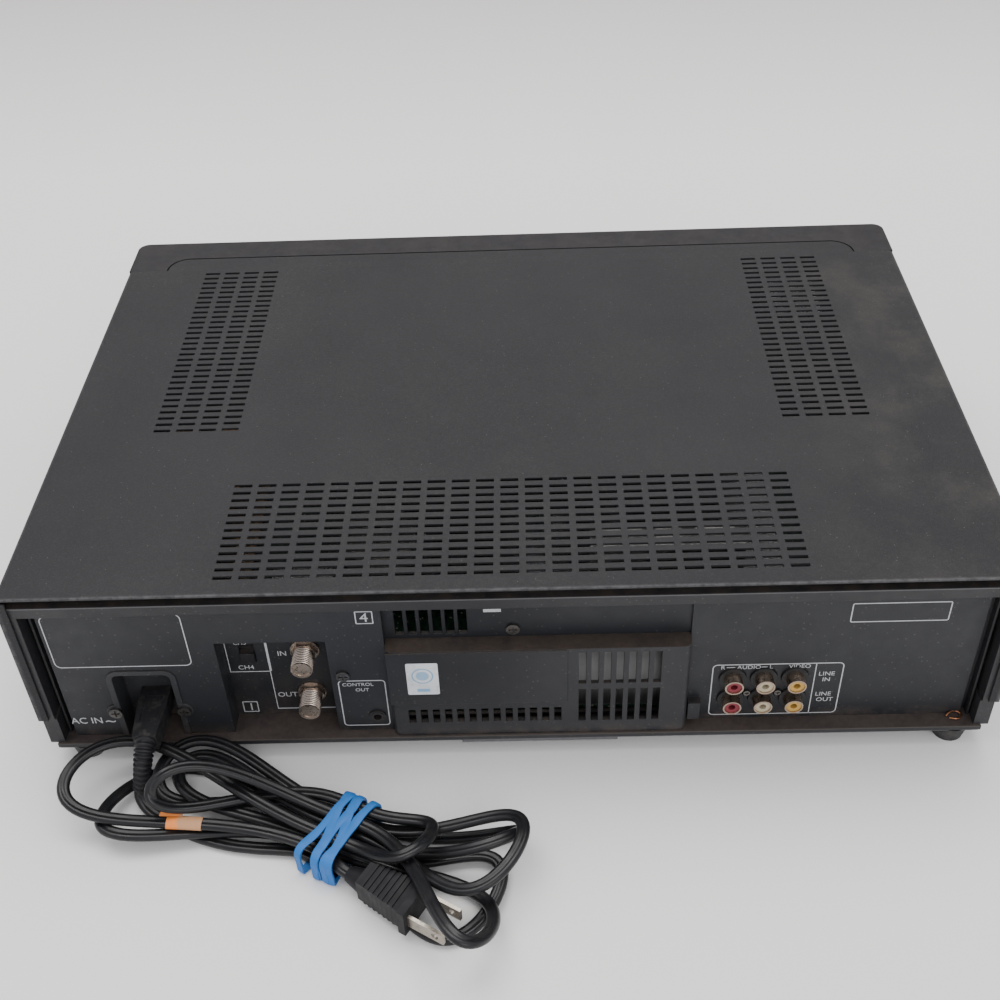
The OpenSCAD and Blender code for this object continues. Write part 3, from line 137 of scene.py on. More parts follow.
class Shade:
    """One material. Sockets are passed as values or as sockets of other nodes."""

    def __init__(self, name):
        self.material = bpy.data.materials.new(name)
        self.material.use_nodes = True
        self.tree = self.material.node_tree
        self.shader = self.tree.nodes["Principled BSDF"]
        self.where = self.node("TexCoord")

    def node(self, kind, values=(), **settings):
        made = self.tree.nodes.new("ShaderNode" + kind)
        for key, value in settings.items():
            setattr(made, key, value)
        for key, value in dict(values).items():
            self.feed(made.inputs[key], value)
        return made

    def feed(self, socket, value):
        """Link a socket to value if that is a socket too, and otherwise set it."""
        if isinstance(value, bpy.types.NodeSocket):
            self.tree.links.new(value, socket)
        elif hasattr(value, "__len__") and len(value) == 3 and socket.type == "RGBA":
            socket.default_value = (*value, 1)
        else:
            socket.default_value = value

    def axes(self):
        """The place along X, Y and Z."""
        split = self.node("SeparateXYZ", {0: self.where.outputs["Object"]})
        return split.outputs[0], split.outputs[1], split.outputs[2]

    def up(self):
        """One where the surface faces upwards."""
        split = self.node("SeparateXYZ", {0: self.where.outputs["Normal"]})
        return self.band(split.outputs[2], 0.55, 0.9)

    def patches(self, scale, detail, rough, low, high, first=0.0, last=1.0):
        """Cloudy patches: noise that rises from first at low to last at high."""
        return self.band(self.noise(scale, detail, rough), low, high, first, last)

    def stretched(self, factors):
        return self.node("Mapping", {0: self.where.outputs["Object"], 3: factors}).outputs[0]

    def noise(self, scale, detail=3, rough=0.55, factors=None):
        place = self.stretched(factors) if factors else self.where.outputs["Object"]
        return self.node("TexNoise", {"Vector": place, "Scale": scale, "Detail": detail,
                                      "Roughness": rough}).outputs[0]

    def cells(self, scale, feature="F1"):
        place = self.where.outputs["Object"]
        return self.node("TexVoronoi", {"Vector": place, "Scale": scale}, feature=feature).outputs[0]

    def band(self, value, low, high, first=0.0, last=1.0):
        """A value that runs from first to last while another runs from low to high."""
        return self.node("MapRange", {0: value, 1: low, 2: high, 3: first, 4: last}).outputs[0]

    def maths(self, kind, a, b=0.0):
        return self.node("Math", {0: a, 1: b}, operation=kind).outputs[0]

    def times(self, first, *others):
        for other in others:
            first = self.maths("MULTIPLY", first, other)
        return first

    def highest(self, first, *others):
        for other in others:
            first = self.maths("MAXIMUM", first, other)
        return first

    def size_of(self, value):
        """The value without its sign."""
        return self.maths("ABSOLUTE", value)

    def inside(self, axis, low, high, soft):
        """One between low and high, with soft borders."""
        first = self.band(axis, low - soft, low + soft)
        last = self.band(axis, high - soft, high + soft, 1, 0)
        return self.times(first, last)

    def mix(self, share, first, second):
        made = self.node("Mix", data_type="RGBA")
        for index, value in ((0, share), (6, first), (7, second)):
            self.feed(made.inputs[index], value)
        return made.outputs[2]

    def rough(self, value):
        self.feed(self.shader.inputs["Roughness"], value)

    def bump(self, height, distance, strength=1.0, below=None):
        values = {"Height": height, "Distance": distance, "Strength": strength}
        if below is not None:
            values["Normal"] = below
        made = self.node("Bump", values)
        self.tree.links.new(made.outputs[0], self.shader.inputs["Normal"])
        return made.outputs[0]

    def soft_edges(self, radius):
        return self.node("Bevel", {"Radius": radius}, samples=4).outputs[0]

    def color(self, value):
        self.feed(self.shader.inputs["Base Color"], value)

    def painted(self):
        """What the colour is so far, to be mixed with more."""
        return self.shader.inputs["Base Color"].links[0].from_socket

    def set(self, **values):
        for key, value in values.items():
            self.feed(self.shader.inputs[key.replace("_", " ")], value)
        return self.material


def speckles(shade, share, scale):
    """Sparse pale flecks, share of the surface from 0 to 1."""
    return shade.band(shade.cells(scale), share, share * 0.55)


def moulded(name, color, rough=0.5, grain=0.00012, dust=0.25, edge=0.0004, shift=0.12):
    """Fine-grained moulded plastic with dust on what lies flat, pale flecks and soft edges."""
    shade = Shade(name)
    lighter = [c * (1 + shift) + 0.002 for c in color]
    darker = [c * (1 - shift) for c in color]
    body = shade.mix(shade.noise(38, 4), darker, lighter)
    lying = shade.times(shade.up(), shade.patches(90, 5, 0.65, 0.36, 0.62), dust)
    flecks = shade.times(speckles(shade, 0.16, 330), 0.35 * min(1, dust * 2))
    body = shade.mix(lying, body, DUST)
    shade.color(shade.mix(flecks, body, PALE_DUST))
    shade.rough(shade.patches(120, 3, 0.55, 0.3, 0.7, rough - 0.07, rough + 0.08))
    below = shade.soft_edges(edge) if edge else None
    shade.bump(shade.noise(2600, 2), grain, 0.55, below)
    return shade


def plastic(name, color, rough=0.5, shine=0.42, **options):
    return moulded(name, color, rough, **options).set(Specular_IOR_Level=shine)


def metal(name, color, rough=0.3, brushed=(1, 1, 1), tint=0.12, stain=0.3):
    """Metal with dull patches, stains and a fine grain, packed closest along the largest of brushed."""
    shade = Shade(name)
    dull = [c * (1 - tint) for c in color]
    base = shade.mix(shade.noise(60, 4), dull, color)
    spots = shade.times(shade.patches(210, 5, 0.7, 0.55, 0.75), stain)
    shade.color(shade.mix(spots, base, [c * 0.42 for c in color]))
    lines = shade.noise(900, 2, 0.5, brushed)
    shade.rough(shade.band(lines, 0.3, 0.7, rough - 0.07, rough + 0.12))
    shade.bump(lines, 0.00002, 0.25)
    return shade.set(Metallic=1.0)


def rubber(name, color, rough=0.42, grain=0.00005, dust=0.12, coat=0.0, shine=0.5):
    """Rubber or soft plastic with worn, dusty patches."""
    shade = Shade(name)
    lighter = [c * 1.3 + 0.004 for c in color]
    base = shade.mix(shade.noise(70, 4), color, lighter)
    worn = shade.times(shade.patches(160, 5, 0.7, 0.5, 0.72), dust)
    shade.color(shade.mix(worn, base, PALE_DUST))
    shade.rough(shade.patches(140, 3, 0.55, 0.3, 0.7, rough - 0.08, rough + 0.12))
    shade.bump(shade.noise(1500, 2), grain, 0.5)
    return shade.set(Specular_IOR_Level=shine, Coat_Weight=coat, Coat_Roughness=0.2)


def cover_paint():
    """Fine textured paint with dust, faint embossing, and worn edges that also carry a painted highlight."""
    shade = Shade("cover_paint")
    x, y, z = shade.axes()
    base = shade.mix(shade.noise(14, 5, 0.6), (0.018, 0.018, 0.0195), (0.0235, 0.0235, 0.025))
    grains = shade.noise(1500, 3, 0.6)
    base = shade.mix(shade.band(grains, 0.5, 0.78, 0, 0.5), base, (0.047, 0.047, 0.05))
    haze = shade.times(shade.up(), shade.patches(7, 6, 0.65, 0.42, 0.72),
                       shade.patches(520, 4, 0.8, 0.45, 0.72), 0.22)
    base = shade.mix(haze, base, (0.11, 0.1, 0.08))
    right = shade.times(shade.band(x, -0.12, -0.2), shade.up(), shade.patches(24, 6, 0.7, 0.46, 0.66), 0.18)
    base = shade.mix(right, base, (0.12, 0.108, 0.082))
    flecks = shade.times(speckles(shade, 0.07, 260), shade.up(), 0.6)
    base = shade.mix(flecks, base, (0.16, 0.155, 0.14))
    # Paler paint along the top's edges: partly rubbed paint, partly a painted highlight where the edges
    # catch the light.
    top = shade.band(z, TOP - 0.0015, TOP - 0.0003)
    side = shade.band(shade.size_of(x), HALF_W - 0.0022, HALF_W - 0.0002)
    rear = shade.band(y, BACK - 0.0015, BACK - 0.0001)
    scuffs_and_glints = shade.patches(230, 5, 0.7, 0.36, 0.6, 0.25, 1)
    edges = shade.highest(shade.times(top, rear), shade.times(top, side, 0.8), shade.times(side, rear))
    shade.color(shade.mix(shade.times(edges, scuffs_and_glints, 0.55), base, (0.15, 0.15, 0.155)))
    shade.rough(shade.patches(9, 4, 0.55, 0.3, 0.7, 0.52, 0.66))
    # The middle of the cover is embossed by a hair, up to 25 mm from its sides and 29 mm from its ends.
    away_x = shade.maths("SUBTRACT", shade.size_of(x), HALF_W - 0.025)
    away_y = shade.maths("SUBTRACT", shade.size_of(y), BACK - 0.029)
    step = shade.band(shade.highest(away_x, away_y), -0.003, 0.003, 1, 0)
    below = shade.bump(step, 0.0004, 0.7, shade.soft_edges(0.0005))
    shade.bump(grains, 0.00022, 0.8, below)
    return shade.set(Specular_IOR_Level=0.2)


def chassis_plastic():
    """Black moulding whose ledge behind the panel holds brown dust, with a paler brownish line along the
    ledge's rear edge and a painted highlight along the bar across the back.
    """
    shade = moulded("chassis_plastic", (0.017, 0.017, 0.019), 0.5, dust=0.3)
    _, y, z = shade.axes()
    plain = shade.painted()
    ledge = shade.times(shade.up(), shade.band(y, LEDGE_Y - 0.0015, LEDGE_Y + 0.0015),
                        shade.inside(z, *LEDGE_Z, 0.0004))
    thick = shade.patches(55, 6, 0.72, 0.34, 0.55)
    fluff = shade.mix(shade.noise(420, 4, 0.7), (0.034, 0.027, 0.025), (0.095, 0.074, 0.064))
    base = shade.mix(shade.times(ledge, shade.band(thick, 0, 1, 0.35, 1)), plain, fluff)
    lip = shade.times(shade.band(y, BACK - 0.0008, BACK - 0.0001), shade.band(z, 0.0117, 0.0123))
    base = shade.mix(shade.times(lip, 0.5), base, (0.1, 0.085, 0.07))
    # A painted highlight: a pale line where the bar's edge catches the light.
    bar_painted_highlight = shade.times(shade.band(y, BAR_Y - 0.0003, BAR_Y + 0.0002),
                           shade.band(z, BAR_Z - 0.0003, BAR_Z + 0.0003))
    shade.color(shade.mix(shade.times(bar_painted_highlight, 0.5), base, (0.2, 0.2, 0.205)))
    return shade.set(Specular_IOR_Level=0.42)


def panel_plastic(name, color, rough, low=0.0125, shelf=1.0):
    """A rear moulding with brown dust near the ledge at low, and on flats above the height of shelf."""
    shade = moulded(name, color, rough, dust=0.35)
    x, y, z = shade.axes()
    plain = shade.painted()
    foot = shade.times(shade.band(z, low + 0.007, low), shade.patches(75, 6, 0.75, 0.42, 0.62), 0.8)
    recess = shade.times(shade.inside(x, *RECESS_X, 0.0004), shade.band(y, RECESS_Y + 0.0015, RECESS_Y))
    deep = shade.times(recess, shade.band(z, 0.05, RECESS_Z), shade.patches(60, 6, 0.72, 0.4, 0.66), 0.55)
    brown = shade.mix(shade.noise(400, 4, 0.7), (0.036, 0.028, 0.024), (0.1, 0.077, 0.062))
    lying = shade.times(shade.up(), shade.band(z, shelf, shelf + 0.002),
                        shade.patches(70, 6, 0.72, 0.3, 0.56, 0.3, 0.95))
    shade.color(shade.mix(shade.highest(foot, deep, lying), plain, brown))
    return shade.set(Specular_IOR_Level=0.36)


def board(name, color):
    """A circuit board with paler tracks and solder dots."""
    shade = Shade(name)
    tracks = shade.cells(190, "DISTANCE_TO_EDGE")
    light = [c * 1.7 + 0.01 for c in color]
    base = shade.mix(shade.band(tracks, 0.05, 0.1, 1, 0), color, light)
    dots = shade.band(shade.cells(260), 0.17, 0.12)
    shade.color(shade.mix(dots, base, (0.3, 0.29, 0.25)))
    shade.rough(0.35)
    shade.bump(tracks, 0.00005, 0.3)
    return shade.set()


def smoked_glass():
    """The dark window of the front, a little uneven in its gloss."""
    shade = Shade("smoked_window")
    shade.color(shade.mix(shade.noise(12, 3), (0.006, 0.007, 0.009), (0.01, 0.012, 0.015)))
    shade.rough(shade.patches(300, 5, 0.7, 0.4, 0.7, 0.06, 0.16))
    return shade.set(Specular_IOR_Level=0.25, Coat_Weight=0.12, Coat_Roughness=0.05)


def printed(name, color):
    """Printed paint, a little worn."""
    shade = Shade(name)
    worn = shade.patches(700, 4, 0.7, 0.3, 0.6, 0.72, 1)
    shade.color(shade.mix(worn, [c * 0.5 for c in color], color))
    shade.rough(0.55)
    return shade.set()


def sticker_paper():
    """White paper with a blue ring round a disc and a short line below, a little soiled."""
    shade = Shade("sticker_paper")
    x, _, z = shade.axes()
    dx = shade.maths("SUBTRACT", x, (STICKER[0] + STICKER[1]) / 2 * MM)
    dz = shade.maths("SUBTRACT", z, RING_Z)
    away = shade.maths("SQRT", shade.maths("ADD", shade.times(dx, dx), shade.times(dz, dz)))
    ring = shade.inside(away, 0.0042, 0.0048, 0.00012)
    core = shade.band(away, 0.003, 0.0027)
    line = shade.times(shade.inside(shade.size_of(dx), -1, 0.0028, 0.0002),
                       shade.inside(z, LINE_Z - 0.001, LINE_Z + 0.001, 0.0002))
    blue = shade.highest(ring, shade.times(core, 0.75), shade.times(line, 0.9))
    paper = shade.mix(shade.patches(160, 5, 0.7, 0.42, 0.75), (0.72, 0.75, 0.78), (0.5, 0.52, 0.53))
    shade.color(shade.mix(shade.times(blue, 0.85), paper, (0.1, 0.33, 0.58)))
    shade.rough(0.5)
    return shade.set()


def tape_paper():
    """Orange tape that is faded to tan at one side."""
    shade = Shade("tape_paper")
    x = shade.axes()[0]
    base = shade.mix(shade.noise(130, 4), (0.78, 0.2, 0.03), (0.9, 0.3, 0.06))
    tan = shade.band(shade.maths("ADD", x, shade.times(shade.noise(200, 3), 0.004)), 0.1495, 0.1475)
    shade.color(shade.mix(tan, base, (0.5, 0.26, 0.13)))
    shade.rough(0.6)
    shade.bump(shade.noise(500, 4, 0.6), 0.0002, 0.5)
    return shade.set()


def floor_paper():
    """Pale paper with wide soft creases, and painted shade that darkens it towards the far side."""
    shade = Shade("floor_paper")
    y = shade.axes()[1]
    base = shade.mix(shade.noise(1.6, 4), (0.85, 0.84, 0.82), (0.88, 0.87, 0.85))
    creases = shade.noise(3.2, 3, 0.5, (1, 0.35, 1))
    base = shade.mix(shade.band(creases, 0.35, 0.7, 0, 0.35), base, (0.82, 0.8, 0.79))
    # Painted shade: the paper darkens towards the far side and up its curve.
    shade.color(shade.mix(shade.band(y, -0.45, -1.0), base, (0.52, 0.5, 0.495)))
    shade.rough(0.75)
    shade.bump(creases, 0.012, 0.18)
    return shade.set(Specular_IOR_Level=0.25)


# Mesh helpers. Lengths are in millimetres.

def piece(name, mesh, material, body=BODY, smooth=None):
    """One added piece, which rides on body if it has one. Edges sharper than smooth degrees stay sharp."""
    made = bpy.data.objects.new(name, mesh)
    bpy.context.scene.collection.objects.link(made)
    mesh.materials.clear()
    mesh.materials.append(material)
    if smooth is not None:
        mesh.shade_smooth()
        mesh.set_sharp_from_angle(angle=math.radians(smooth))
    if body:
        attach(made, body)
    return made


def mesh_of(name, points, faces):
    mesh = bpy.data.meshes.new(name)
    mesh.from_pydata([[c * MM for c in p] for p in points], [], faces)
    mesh.update()
    return mesh


def joined(name, parts):
    """One mesh from several lists of points and faces."""
    points = []
    faces = []
    for more, own in parts:
        start = len(points)
        points += [list(p) for p in more]
        faces += [[i + start for i in face] for face in own]
    return mesh_of(name, points, faces)


def bar(x0, x1, y0, y1, z0, z1):
    points = [(x, y, z) for x in (x0, x1) for y in (y0, y1) for z in (z0, z1)]
    faces = [(0, 1, 3, 2), (4, 6, 7, 5), (0, 4, 5, 1), (2, 3, 7, 6), (0, 2, 6, 4), (1, 5, 7, 3)]
    return points, faces


def oval(across, up, sides):
    """Points round an oval, from half its width and half its height."""
    turns = np.linspace(0, 2 * math.pi, sides, endpoint=False)
    return [(across * math.cos(a), up * math.sin(a)) for a in turns]


def skin(rings, sides, closed=False):
    """Faces between rings that follow each other and have the same number of points."""
    faces = []
    for k in range(rings if closed else rings - 1):
        low = k * sides
        high = (k + 1) % rings * sides
        for i in range(sides):
            j = (i + 1) % sides
            faces.append((low + i, low + j, high + j, high + i))
    return faces


def lathe(profile, centre, sides=40):
    """A turned form along Y: profile holds pairs of a place along Y and a radius."""
    cx, cz = centre
    points = []
    for y, r in profile:
        points += [(cx + a, y, cz + b) for a, b in oval(r, r, sides)]
    faces = skin(len(profile), sides)
    faces.append(tuple(range(sides)))
    faces.append(tuple(range(len(profile) * sides - 1, (len(profile) - 1) * sides - 1, -1)))
    return points, faces


def sweep(route, section, first=None, last=None):
    """A closed tube through route. section(i) gives a ring's points, level and up."""
    route = np.array(route, float)
    ways = np.gradient(route, axis=0)
    if first is not None:
        ways[0] = first
    if last is not None:
        ways[-1] = last
    ways /= np.linalg.norm(ways, axis=1)[:, None]
    points = []
    for i, (p, d) in enumerate(zip(route, ways)):
        level = np.array([-d[1], d[0], 0.0])
        level /= np.linalg.norm(level)
        rise = np.cross(d, level)
        points += [p + level * a + rise * b for a, b in section(i)]
    n = len(section(0))
    faces = skin(len(route), n)
    faces.append(tuple(range(n - 1, -1, -1)))
    faces.append(tuple(range((len(route) - 1) * n, len(route) * n)))
    return points, faces


def smooth_line(points, each=8):
    """A smooth curve through points, with each steps between two of them."""
    p = np.array(points, float)
    p = np.vstack([2 * p[0] - p[1], p, 2 * p[-1] - p[-2]])
    made = []
    for i in range(1, len(p) - 2):
        for k in range(each):
            t = k / each
            a = 2 * p[i]
            b = p[i + 1] - p[i - 1]
            c = 2 * p[i - 1] - 5 * p[i] + 4 * p[i + 1] - p[i + 2]
            d = 3 * p[i] - p[i - 1] - 3 * p[i + 1] + p[i + 2]
            made.append((a + b * t + c * t * t + d * t ** 3) / 2)
    made.append(p[-2])
    return made


# The mains cord, along the same points as its solids. It is one flat twin lead from end to end.

# Four points that bend the strain relief, from the connector to the lead
RELIEF = [(164, 159.5, 27.5), (164, 166, 27.5), (165.6, 168.4, 17), (168, 170, 9)]
# Thickness of the relief at its start and its end, its ribs, and how deep each ring of a rib lies
RELIEF_START = 9.8
RELIEF_END = 7
RIBS = 10
RIB_RINGS = (0, 0, 0, 0.4, 0.8, 0.8, 0.8, 0.4)
RELIEF_SIDES = 20
# The lead, from the strain relief to the hank
LEAD = [RELIEF[3], (167.8, 172.4, 6), (165.6, 175.6, 4), (162, 179, 3), (158, 181.5, 2.6),
        (150, 186.4, 2.4), (142, 190.6, 2.4), (134, 193.8, 2.4), (124, 196.6, 2.4),
        (113, 198.4, 2.6), (103, 199.4, 2.8), (95.3, 200.25, 2.8)]
# The waist of the hank, with its directions: along the bundle, across it and up
WAIST = np.array([76, 197, 0.6])
HANK_U = np.array([-0.9023, 0.4311, 0])
HANK_V = np.array([-0.4311, -0.9023, 0])
UP = np.array([0, 0, 1.0])
# Half the straight length that the band grips
GRIP = 8
# Each loop's reach, sideways bend, width, lift and tilt
LOOPS = [(64.7, 9.5, -24.5, 1, -1.4), (94.7, -25.2, -26.1, 4.8, 5.2), (63.2, 19.7, -8.9, 12.4, 9),
         (84.4, -13.5, 17.5, 5.8, 7.8), (68.6, 9.2, 23.4, 13.9, 1), (76.7, 3.2, 11.4, 1.1, -0.4),
         (73.6, -23.4, 22.9, 9.2, -12.3), (70.1, -33.2, 9.8, 13.5, 10.5), (31.8, 2.2, 9.1, 7.7, -5),
         (114.2, -18, 23.1, 8.8, 2.3)]
# Where the cord passes the waist before each loop and after the last one, across and up
PASSES = [(-11.2, 2.2), (-4.3, 2), (5.3, 2.5), (13.5, 2), (10.9, 6.3), (3.9, 8.9), (-4.2, 6.6),
          (5.8, 13), (13.5, 12.5), (-4.8, 13), (-10, 8.9)]
# Where it leaves for the plug, and which way the plug points
LAST_PASS = (-15.5, 9.5)
PLUG_WAY = np.array([-0.857, 0.5153, 0])
# Width and thickness of the flat lead, and the rings of each loop
CORD_W = 5.8
CORD_T = 3.3
CORD_RINGS = 56


def at(u, v, z):
    """A point of the hank, from its place along, across and up."""
    return WAIST + u * HANK_U + v * HANK_V + z * UP


def loop_point(k, s):
    """A point of loop k, where s runs from 0 to 1."""
    side = 1 if k % 2 == 0 else -1
    reach, bend, wide, lift, tilt = LOOPS[k]
    (v0, z0), (v1, z1) = PASSES[k], PASSES[k + 1]
    p = math.sin(math.pi * s)
    q = math.sin(2 * math.pi * s) * p
    w = s * s * (3 - 2 * s)
    return at(side * (GRIP + reach * p), v0 + (v1 - v0) * w + bend * p * p + wide * q,
              z0 + (z1 - z0) * w + lift * p * p + tilt * q)


def hermite(a, way_a, b, way_b, steps):
    """Points between a and b, on a curve that leaves along way_a and arrives along way_b."""
    made = []
    for i in range(1, steps):
        t = i / steps
        made.append((2 * t ** 3 - 3 * t * t + 1) * a + (t ** 3 - 2 * t * t + t) * way_a
                    + (3 * t * t - 2 * t ** 3) * b + (t ** 3 - t * t) * way_b)
    return made


def cord_route():
    """The middle line of the cord: the lead, every loop with its straight pass, and the way to the plug."""
    each = 6
    straight = 5
    start = at(-GRIP, *PASSES[0])
    route = smooth_line([*LEAD, start, at(0, *PASSES[0])], each)[:-each]
    for k in range(len(LOOPS)):
        a = loop_point(k, 0)
        route += [route[-1] + (a - route[-1]) * i / straight for i in range(1, straight)]
        route += [loop_point(k, i / (CORD_RINGS - 1)) for i in range(CORD_RINGS)]
    end = at(GRIP + 6, *LAST_PASS)
    route += hermite(route[-1], HANK_U * 20, end, PLUG_WAY * 20, 8)
    route.append(end)
    return route


def twin_section():
    """Two round conductors side by side, with a shallow groove between them."""
    quarter = [(CORD_W / 2, 0), (2.72, 0.72), (2.25, 1.3), (1.45, CORD_T / 2), (0.65, 1.52), (0, 1.22)]
    ring = quarter + [(-a, b) for a, b in quarter[-2::-1]]
    return ring + [(a, -b) for a, b in ring[-2:0:-1]]


def add_cord():
    """The cord as one piece, with its path and length in metres."""
    route = cord_route()
    section = twin_section()
    first_way = (LEAD[1][0] - LEAD[0][0], LEAD[1][1] - LEAD[0][1], -3)
    points, faces = sweep(route, lambda i: section, first_way, PLUG_WAY)
    made = piece("mains_cord", mesh_of("mains_cord", points, faces), MATERIALS["cord"], smooth=60)
    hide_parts("cord_lead", "cord_hank")
    path = [[c * MM for c in p] for p in route]
    length = sum(math.dist(a, b) for a, b in zip(path, path[1:]))
    return made, path, length


def relief_point(s):
    """A point of the strain relief's middle line, where s runs from 0 to 1."""
    a, b, c, d = [np.array(p, float) for p in RELIEF]
    return (1 - s) ** 3 * a + 3 * (1 - s) ** 2 * s * b + 3 * (1 - s) * s * s * c + s ** 3 * d


def add_relief():
    """The strain relief's sleeve and its ribs, one tapered tube."""
    steps = RIBS * len(RIB_RINGS)
    route = [relief_point(i / steps) for i in range(steps + 1)]

    def ring(i):
        size = (RELIEF_START - (RELIEF_START - RELIEF_END) * i / steps) / 2
        size -= RIB_RINGS[i % len(RIB_RINGS)]
        return oval(size, size, RELIEF_SIDES)

    points, faces = sweep(route, ring, (0, 1, 0), np.array(RELIEF[3]) - np.array(RELIEF[2]))
    made = piece("relief_sleeve", mesh_of("relief_sleeve", points, faces), MATERIALS["relief"], smooth=40)
    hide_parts("strain_relief")
    return made


# The rubber band round the waist of the hank.

# Its sides across, its top, each wrap's width and thickness, the pitch, and each wrap's slant in degrees
BAND = {"v": (-19.1, 19.2), "top": 16.4, "wide": 3.6, "thick": 0.9, "pitch": 2.9,
        "skew": (-10, 7, -4, 10, -7)}
BAND_RINGS = 72
# Above this height a wrap lies over the cords and follows them in a wave
BAND_MIDDLE = 8
# How far its edges are thinned, and how far its upper part sinks in
BAND_EDGE = 0.25
BAND_SINK = 0.15


def band_loop(inset):
    """The outline of one wrap, drawn in by inset and seen along the cord, as points across and up."""
    v0, v1 = BAND["v"]
    top = BAND["top"] - inset
    corners = [(v0 + inset, inset, 1.2, -180), (v1 - inset, inset, 1.2, -90),
               (v1 - inset, top, 4.2, 0), (v0 + inset, top, 4.2, 90)]
    made = []
    for v, z, r, start in corners:
        cv = v + (r if v < 0 else -r)
        cz = z + (r if z < BAND_MIDDLE else -r)
        for i in range(7):
            a = math.radians(start + 15 * i)
            made.append((cv + r * math.cos(a), cz + r * math.sin(a)))
    return made


def resample(loop, count):
    """Points at even distances round a closed loop."""
    pts = np.array(loop + [loop[0]], float)
    run = np.concatenate([[0], np.cumsum(np.linalg.norm(np.diff(pts, axis=0), axis=1))])
    where = np.linspace(0, run[-1], count, endpoint=False)
    return list(zip(np.interp(where, run, pts[:, 0]), np.interp(where, run, pts[:, 1])))


def band_wrap(middle, skew, phase):
    """One flat wrap at a slant. Its waves follow phase."""
    outer = resample(band_loop(0), BAND_RINGS)
    inner = resample(band_loop(BAND["thick"]), BAND_RINGS)
    points = []
    for (v, z), (vi, zi) in zip(outer, inner):
        turn = 0.45 * math.sin(0.21 * v + phase) * (1 if z > BAND_MIDDLE else 0.2)
        half = BAND["wide"] / 2 * (1 + 0.1 * math.sin(0.35 * v + 2 * phase))
        lift = 0.12 * math.sin(0.5 * v + phase)
        section = [(v, z, -1), (v, z, -0.5), (v, z, 0.5), (v, z, 1), (vi, zi, 1), (vi, zi, -1)]
        for a, b, side in section:
            thin = BAND_EDGE if abs(side) == 1 and (a, b) == (v, z) else 0
            rise = lift - BAND_SINK - thin if b > BAND_MIDDLE else thin
            u = side * half + turn
            points.append(at(middle + u * math.cos(skew) - a * math.sin(skew),
                             u * math.sin(skew) + a * math.cos(skew), b + rise - WAIST[2]))
    return points, skin(BAND_RINGS, len(section), closed=True)


def add_band():
    """Flat wraps of a stretched rubber band that cross each other at a slant."""
    rng = random.Random(11)
    slants = BAND["skew"]
    parts = []
    for index, slant in enumerate(slants):
        middle = (index - (len(slants) - 1) / 2) * BAND["pitch"]
        parts.append(band_wrap(middle, math.radians(slant), rng.uniform(0, 6)))
    made = piece("band_wraps", joined("band_wraps", parts), MATERIALS["band"], smooth=50)
    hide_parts("rubber_band")
    return made


# The orange tape: its loop, where it starts there, the step between its rings, their number and half sizes.

TAPE_LOOP = 9
TAPE_START = 0.814
TAPE_STEP = 0.0035
TAPE_RINGS = 14
TAPE_HALF = (3.3, 2.05)
# Its flag: middle, directions along and out, radius, half the thickness, points of its edge
FLAG_MIDDLE = np.array([150, 189.6, 11.9])
FLAG_WAY = np.array([-0.98, 0.1, -0.1])
FLAG_OUT = np.array([-0.1, -0.86, 0.5])
FLAG_R = 5.4
FLAG_HALF = 0.18
FLAG_POINTS = 13


def add_tape():
    """Tape round the loop that lies on top, with a rounded flag that stands off it."""
    route = [loop_point(TAPE_LOOP, TAPE_START + TAPE_STEP * i) for i in range(TAPE_RINGS)]
    ring = oval(*TAPE_HALF, 24)
    n = FLAG_POINTS
    flag = []
    for i in range(n):
        a = math.pi * i / (n - 1)
        along = FLAG_WAY * FLAG_R * math.cos(a)
        flag.append(FLAG_MIDDLE + along + FLAG_OUT * FLAG_R * math.sin(a) ** 0.8)
    sheet = FLAG_HALF * np.cross(FLAG_WAY, FLAG_OUT)
    points = [p + sheet for p in flag] + [p - sheet for p in flag]
    faces = [(i, i + 1, n + i + 1, n + i) for i in range(n - 1)]
    faces += [tuple(range(n - 1, -1, -1)), tuple(range(n, 2 * n)), (0, n, 2 * n - 1, n - 1)]
    parts = [sweep(route, lambda i: ring), (points, faces)]
    return piece("orange_tape", joined("orange_tape", parts), MATERIALS["tape"], smooth=50)


# Printed marks: plain outlines, numbers and plain words on the rear panel.

# Planes of the rear along Y: outer field, phono field, shelf, aerial recess, and the vent housing's face
Y_OUTER = 142
Y_PHONO = 139
Y_SHELF = 137.3
Y_RF = 131
Y_FACE = 146.5
# Thickness of print, and how far it is sunk into what it lies on
INK = 0.06
SUNK = 0.02
# Height of the built-in letters' capitals, for letters of size 1
CAPITALS = 0.69
# The sticker's sides along X and Z, and the rim around it
STICKER = (33, 46.4, 41.3, 60.7)
STICKER_RIM = 0.3


def rounded(x0, x1, z0, z1, r, steps=6):
    """Points of a rectangle with round corners."""
    corners = [(x1 - r, z1 - r, 0), (x0 + r, z1 - r, 90), (x0 + r, z0 + r, 180), (x1 - r, z0 + r, 270)]
    made = []
    for cx, cz, start in corners:
        for i in range(steps + 1):
            a = math.radians(start + 90 * i / steps)
            made.append((cx + r * math.cos(a), cz + r * math.sin(a)))
    return made


def outline(x0, x1, z0, z1, y, r=1.2, line=0.45, proud=INK):
    """A printed frame on a plane across Y, as a thin closed ring."""
    outer = rounded(x0, x1, z0, z1, r)
    inner = rounded(x0 + line, x1 - line, z0 + line, z1 - line, max(r - line, 0.1))
    n = len(outer)
    points = [(a, y + h, b) for h in (-SUNK, proud) for loop in (outer, inner) for a, b in loop]
    faces = []
    for i in range(n):
        j = (i + 1) % n
        faces.append((2 * n + i, 2 * n + j, 3 * n + j, 3 * n + i))
        faces.append((i, j, 2 * n + j, 2 * n + i))
        faces.append((n + j, n + i, 3 * n + i, 3 * n + j))
        faces.append((j, i, n + i, n + j))
    return points, faces


def stroke(x0, x1, z0, z1, y):
    """A printed line on a plane across Y."""
    return bar(x0, x1, y, y + INK, z0, z1)


